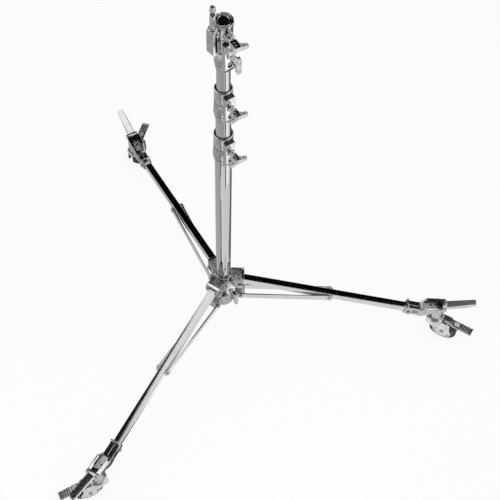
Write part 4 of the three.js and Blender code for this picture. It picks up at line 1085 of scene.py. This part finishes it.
for k, azimuth in enumerate(leg_azimuths):
    shoe = clamp_shoe()
    shoe.transform(Matrix.Translation((hinge_reach, 0, hinge_height))
                   @ Matrix.Rotation(radians(leg_droop), 4, "Y"))
    frame_part = caster_housing()
    for piece in (shoe, frame_part):
        piece.transform(spun(azimuth))
    made_piece(f"caster_{k + 1}_housing_frame_cast", frame_part, f"leg_{k + 1}",
               plated_casting, [f"caster_{k + 1}_housing"])
    made_piece(f"caster_{k + 1}_clamp_shoe", shoe, f"leg_{k + 1}",
               plated_casting, [f"caster_{k + 1}_housing"])

# Swivel lock levers: pressed and plated tongues on a pin between the housing's ears, hollow
# underneath. Pressed down they lock the caster's heading.
lever_plate = surface(
    "lever_plate", (0.86, 0.865, 0.87), (0.76, 0.765, 0.77), 1, (0.16, 0.19), 60, 320, 0.03
)
lever_length, lever_root, lever_tip, lever_tilt = 112, 29, 22.5, 15
lever_corner, lever_half_height, lever_hub_radius = 5, 6, 6.5
line_width, line_inset, seam_half = 1.8, 4.6, 0.9
hollow_start, hollow_wall, hollow_roof = 14, 3.4, -2.6
lock_pin_radius = 3


def lock_lever():
    root, tip, corner_reach = lever_root / 2, lever_tip / 2, lever_length - lever_corner
    plan = [(0, -root)] + arc(corner_reach, -tip + lever_corner, lever_corner, -87, 0, 8)
    plan += arc(corner_reach, tip - lever_corner, lever_corner, 0, 87, 8) + [(0, root)]
    tongue = softened(plate(plan, -lever_half_height, lever_half_height), 0.9, steps=3)
    turn_in = math.atan((lever_root - lever_tip) / 2 / lever_length)
    for side in (1, -1):
        along_edge = Matrix.Rotation(-side * turn_in, 4, "Z")
        line = plate(rounded(lever_length - 14, line_width, 0.8, lever_length / 2 + 6), 5, 9)
        line.transform(Matrix.Translation((0, side * (root - line_inset), 0)) @ along_edge)
        seam = plate([(10, -1), (130, -1), (130, 1), (10, 1)], -seam_half, seam_half)
        seam.transform(Matrix.Translation((0, side * (root + 0.1), 0)) @ along_edge)
        tongue = cut(tongue, line, seam)
    under = moved(plate([
        (hollow_start, -root + hollow_wall), (lever_length - 4, -tip + 3), (lever_length - 4, tip - 3),
        (hollow_start, root - hollow_wall),
    ], -9, hollow_roof))
    hub = bar(lever_hub_radius, -root, root, ALONG_Y, edge=0.6, sides=48)
    pin = bar(lock_pin_radius, -ear_half, ear_half, ALONG_Y, edge=0.5)
    return joined(cut(tongue, under), hub, pin)


# Caster forks: zinc plated pressings. A pressed race turns under the barrel on its balls, the
# crown carries it, and two deep side sheets hold the axle and the brake pedal's pin.
wheel_radius, wheel_trail, axle_height = 50, 40, -130
fork_headings = [-42, -24, -31]
pedal_reach, pedal_height = 50, -70
race_radius, race_top, race_bottom = 31, -63.3, -72.7
fork_end_radius, fork_back = 34, [(60, -71), (57, -68), (-28, -68), (-30, -70)]
sheet_inner, sheet_outer = 17, 20
bead = [(26.8, -21), (29.4, -21), (29.4, -18.5), (26.8, -18.5)]
bead_sector = [(-40, -40), (40, -40), (20, 14), (-40, 14)]
crown_half_length, crown_half_width, crown_low, crown_high = 30, 17.5, -71, -68
kingpin_radius, kingpin_head = 6, 10
kingpin_head_low, kingpin_head_high, kingpin_top = -79, -73, -6.3
press_plate = surface(
    "press_plate", (0.78, 0.785, 0.79), (0.56, 0.565, 0.57), 1, (0.10, 0.22), 50, 320, 0.12
)


def fork():
    race = turned([
        (kingpin_hole_radius, race_bottom), (race_radius, race_bottom), (race_radius, -69.6),
        (29.6, -68.6), (30.4, -67.6), (29, -65.2), (26.3, race_top), (20, race_top), (19, -64.2),
        (12, -64.2), (11, race_top), (kingpin_hole_radius, race_top),
    ], edge=0.5)
    outline = arc(-3, -84, 27, 180, 240, 12)
    outline += arc(wheel_trail, axle_height, fork_end_radius, 168, 402, 40) + fork_back
    sheets = [
        softened(side_plate(outline, low, low + sheet_outer - sheet_inner), 0.9, steps=3)
        for low in (-sheet_outer, sheet_inner)
    ]
    # The bead lines pressed in the side sheets are painted near black as shade.
    for k, side in enumerate((1, -1)):
        line = marked(turned([(r, -side * y) for r, y in bead], edge=0), PAINTED_SHADE)
        line = combined(line, plate(bead_sector, -30, 30), "INTERSECT")
        sheets[k] = cut(sheets[k], moved(line, (wheel_trail, 0, axle_height), SIDEWAYS))
    crown = softened(plate([
        (-crown_half_length, -crown_half_width), (race_radius, -crown_half_width),
        (race_radius, crown_half_width), (-crown_half_length, crown_half_width),
    ], crown_low, crown_high), 0.8)
    return cut(
        joined(sheets[0], sheets[1], crown, race),
        bar(kingpin_hole_radius, -180, -50, edge=0, sides=48),
        bar(bolt_hole_radius, -34, 34, ALONG_Y, (wheel_trail, 0, axle_height), 0),
        bar(pin_hole_radius, -34, 34, ALONG_Y, (pedal_reach, 0, pedal_height), 0),
    )


def kingpin():
    """The pin under the housing that the fork turns on, with a hexagon head below the fork."""
    head = turned([
        (0, kingpin_head_low), (kingpin_head - 0.8, kingpin_head_low),
        (kingpin_head, kingpin_head_low + 0.8), (kingpin_head, kingpin_head_high),
        (0, kingpin_head_high),
    ], edge=0.2, sides=6)
    shaft = turned([
        (0, -76), (kingpin_radius, -76), (kingpin_radius, kingpin_top - 0.7),
        (kingpin_radius - 0.7, kingpin_top), (0, kingpin_top),
    ], edge=0.2)
    return joined(shaft, head)


# Wheels: a grey moulded core with a rib-stiffened web, turning on the axle bolt, and a solid
# black tyre moulded round it.
core_nylon = surface(
    "core_nylon", (0.24, 0.243, 0.247), (0.18, 0.183, 0.187), 0, (0.4, 0.56), 60, 400, 0.25
)
tyre_rubber = surface(
    "tyre_rubber", (0.016, 0.016, 0.017), (0.032, 0.032, 0.033), 0, (0.55, 0.72), 50, 600, 0.35
)


wheel_hub_half, rim_radius, rim_half = 15.5, 40.7, 11.5
rib_count, rib_half, rib_depth = 8, 1.3, 8.5
tyre_inner, tyre_half, tyre_round, mould_line = 41, 13, 4.5, 0.5


def wheel_core():
    far_side = [
        (12, wheel_hub_half), (13, 14.5), (13.6, 4.6), (16, 3.5), (34, 3.5), (36.7, 5.5),
        (36.7, rim_half), (rim_radius, rim_half),
    ]
    core = turned(
        [(bolt_hole_radius, -wheel_hub_half)] + [(r, -y) for r, y in far_side]
        + far_side[::-1] + [(bolt_hole_radius, wheel_hub_half)],
        edge=0.5, sides=72,
    )
    for n in range(rib_count):
        rib = plate([(12, -rib_half), (37.5, -rib_half), (37.5, rib_half), (12, rib_half)],
                    -rib_depth, rib_depth)
        rib.transform(spun(360 / rib_count * n))
        core = joined(core, rib)
    return core


def tyre():
    tread, shoulder = wheel_radius - tyre_round, tyre_half - tyre_round
    profile = [(tyre_inner, -tyre_half), (tread, -tyre_half)]
    profile += arc(tread, -shoulder, tyre_round, -90, 0, 5)[1:]
    profile += [(wheel_radius, -mould_line), (wheel_radius - 0.4, -mould_line),
                (wheel_radius - 0.4, mould_line), (wheel_radius, mould_line)]
    profile += arc(tread, shoulder, tyre_round, 0, 90, 5) + [(tyre_inner, tyre_half)]
    return turned(profile, edge=0.25, sides=96)


# Brake pedals: plated castings pinned in the fork over the wheel. The smooth start has a
# raised release button, and the toe end is ribbed and turned up at the tip.
pedal_plate = surface(
    "pedal_plate", (0.62, 0.625, 0.63), (0.46, 0.465, 0.47), 1, (0.14, 0.26), 70, 320, 0.2
)
pedal_finishes = (pedal_plate, recess_painted_shade, ground_face, satin_face)
pedal_start, pedal_tip, pedal_half = -16, 92, 14
pedal_top, pedal_fall, pedal_thick = 6, 15, 6
rib_start, rib_pitch, rib_height, tip_rise = 50.6, 8.05, 2, 4
button_reach, button_length, button_width, moat_width = 30.8, 20, 18, 3


def brake_pedal():
    length = pedal_tip - pedal_start

    def top(x, rise=0):
        """The point of the pedal's sloping top at x, or the one that lies so much over it."""
        return x, pedal_top - pedal_fall * (x - pedal_start) / length + rise

    points = [(pedal_start, -5), top(pedal_start, -1), (pedal_start + 2, pedal_top)]
    points += [top(20.2), top(41.4)]
    for n in range(4):
        x = rib_start + rib_pitch * n
        points += [(x - 1, top(x)[1]), top(x, rib_height), top(x + 4, rib_height), top(x + 5)]
    points += [top(85.6), top(87.4, tip_rise - 0.6), top(88.6, tip_rise), top(91, tip_rise),
               top(pedal_tip, tip_rise - 1), top(pedal_tip, -5), top(91, -pedal_thick),
               top(8, -pedal_thick), (6, -5)]
    # The ribbed toe's top faces take the near black painted shade finish too.
    blade = marked(side_plate(points, -pedal_half, pedal_half), PAINTED_SHADE,
                   lambda centre, normal: normal.z > 0.9 and 50 < centre.x < 86)
    marked(blade, GROUND, lambda centre, normal: centre.x > 86)
    blade = softened(blade, 0.9, angle=24, steps=3)
    incline = Matrix.Rotation(math.atan(pedal_fall / length), 4, "Y")
    middle = (button_reach, 0, top(button_reach)[1])
    # The moat round the button is painted near black as shade.
    moat = plate(rounded(button_length + 2 * moat_width, button_width + 2 * moat_width, 4), -2, 6)
    moat = marked(moved(moat, middle, incline), PAINTED_SHADE)
    button = softened(plate(rounded(button_length, button_width, 3), -3, 5), 1.2, steps=3)
    button = marked(moved(button, middle, incline), SATIN)
    pin = bar(3, -20, 20, ALONG_Y, edge=0.5)
    return joined(cut(blade, moat), button, pin)


# Axle bolts: zinc plated, through the fork's sheets and the wheel, with a domed hexagon socket
# head on one side and a nut on the other.
axle_radius, axle_grip, axle_end = 5, 20.3, 25.3
axle_head, axle_nut = 8, 8


def axle_bolt():
    shank = turned([
        (0, -axle_grip), (axle_radius, -axle_grip), (axle_radius, axle_grip),
        (axle_head, axle_grip), (axle_head, 22.6), (6.7, 24.6), (4, axle_end), (0, axle_end),
    ], edge=0.4, sides=48)
    nut = turned([
        (0, -axle_end), (axle_nut - 0.6, -axle_end), (axle_nut, -24), (axle_nut, -axle_grip),
        (0, -axle_grip),
    ], edge=0.3, sides=6)
    # The head's hexagon socket is painted near black as shade.
    hex_hole = marked(turned([(0, 22.4), (3.6, 22.4), (3.6, 27), (0, 27)], edge=0, sides=6), PAINTED_SHADE)
    return joined(cut(shank, hex_hole), nut)


# The three casters, each under its leg's end and turned to its own heading.
for k, azimuth in enumerate(leg_azimuths):
    lever = lock_lever()
    lever.transform(spun(azimuth) @ Matrix.Translation((lock_reach, 0, lock_height))
                    @ Matrix.Rotation(radians(-lever_tilt), 4, "Y"))
    made_piece(f"caster_{k + 1}_lock_lever_pressed", lever, f"caster_{k + 1}_lock_lever",
               lever_plate, [f"caster_{k + 1}_lock_lever"])
    heading = spun(azimuth) @ Matrix.Translation((swivel_reach, 0, 0)) @ spun(fork_headings[k])
    at_axle = heading @ Matrix.Translation((wheel_trail, 0, axle_height))
    upright = at_axle @ Matrix.Rotation(radians(90), 4, "X")
    at_pedal = heading @ Matrix.Translation((pedal_reach, 0, pedal_height))
    for shape, place, word, body, slot, finish in (
        (fork(), heading, "fork", "fork", "chrome", (press_plate, recess_painted_shade)),
        (kingpin(), heading, "kingpin", "fork", "bolts", zinc_plate),
        (wheel_core(), upright, "wheel", "wheel", "nylon", core_nylon),
        (tyre(), upright, "tyre", "wheel", "tyre", tyre_rubber),
        (brake_pedal(), at_pedal, "brake_pedal", "brake_pedal", "pressed_steel", pedal_finishes),
    ):
        shape.transform(place)
        made_piece(f"caster_{k + 1}_{word}_made", shape, f"caster_{k + 1}_{body}", finish,
                   [f"caster_{k + 1}_{word}"])
    shape = axle_bolt()
    shape.transform(at_axle @ ALONG_Y)
    made_piece(f"caster_{k + 1}_axle_bolt", shape, f"caster_{k + 1}_fork",
               (zinc_plate, recess_painted_shade), [f"caster_{k + 1}_axle"])
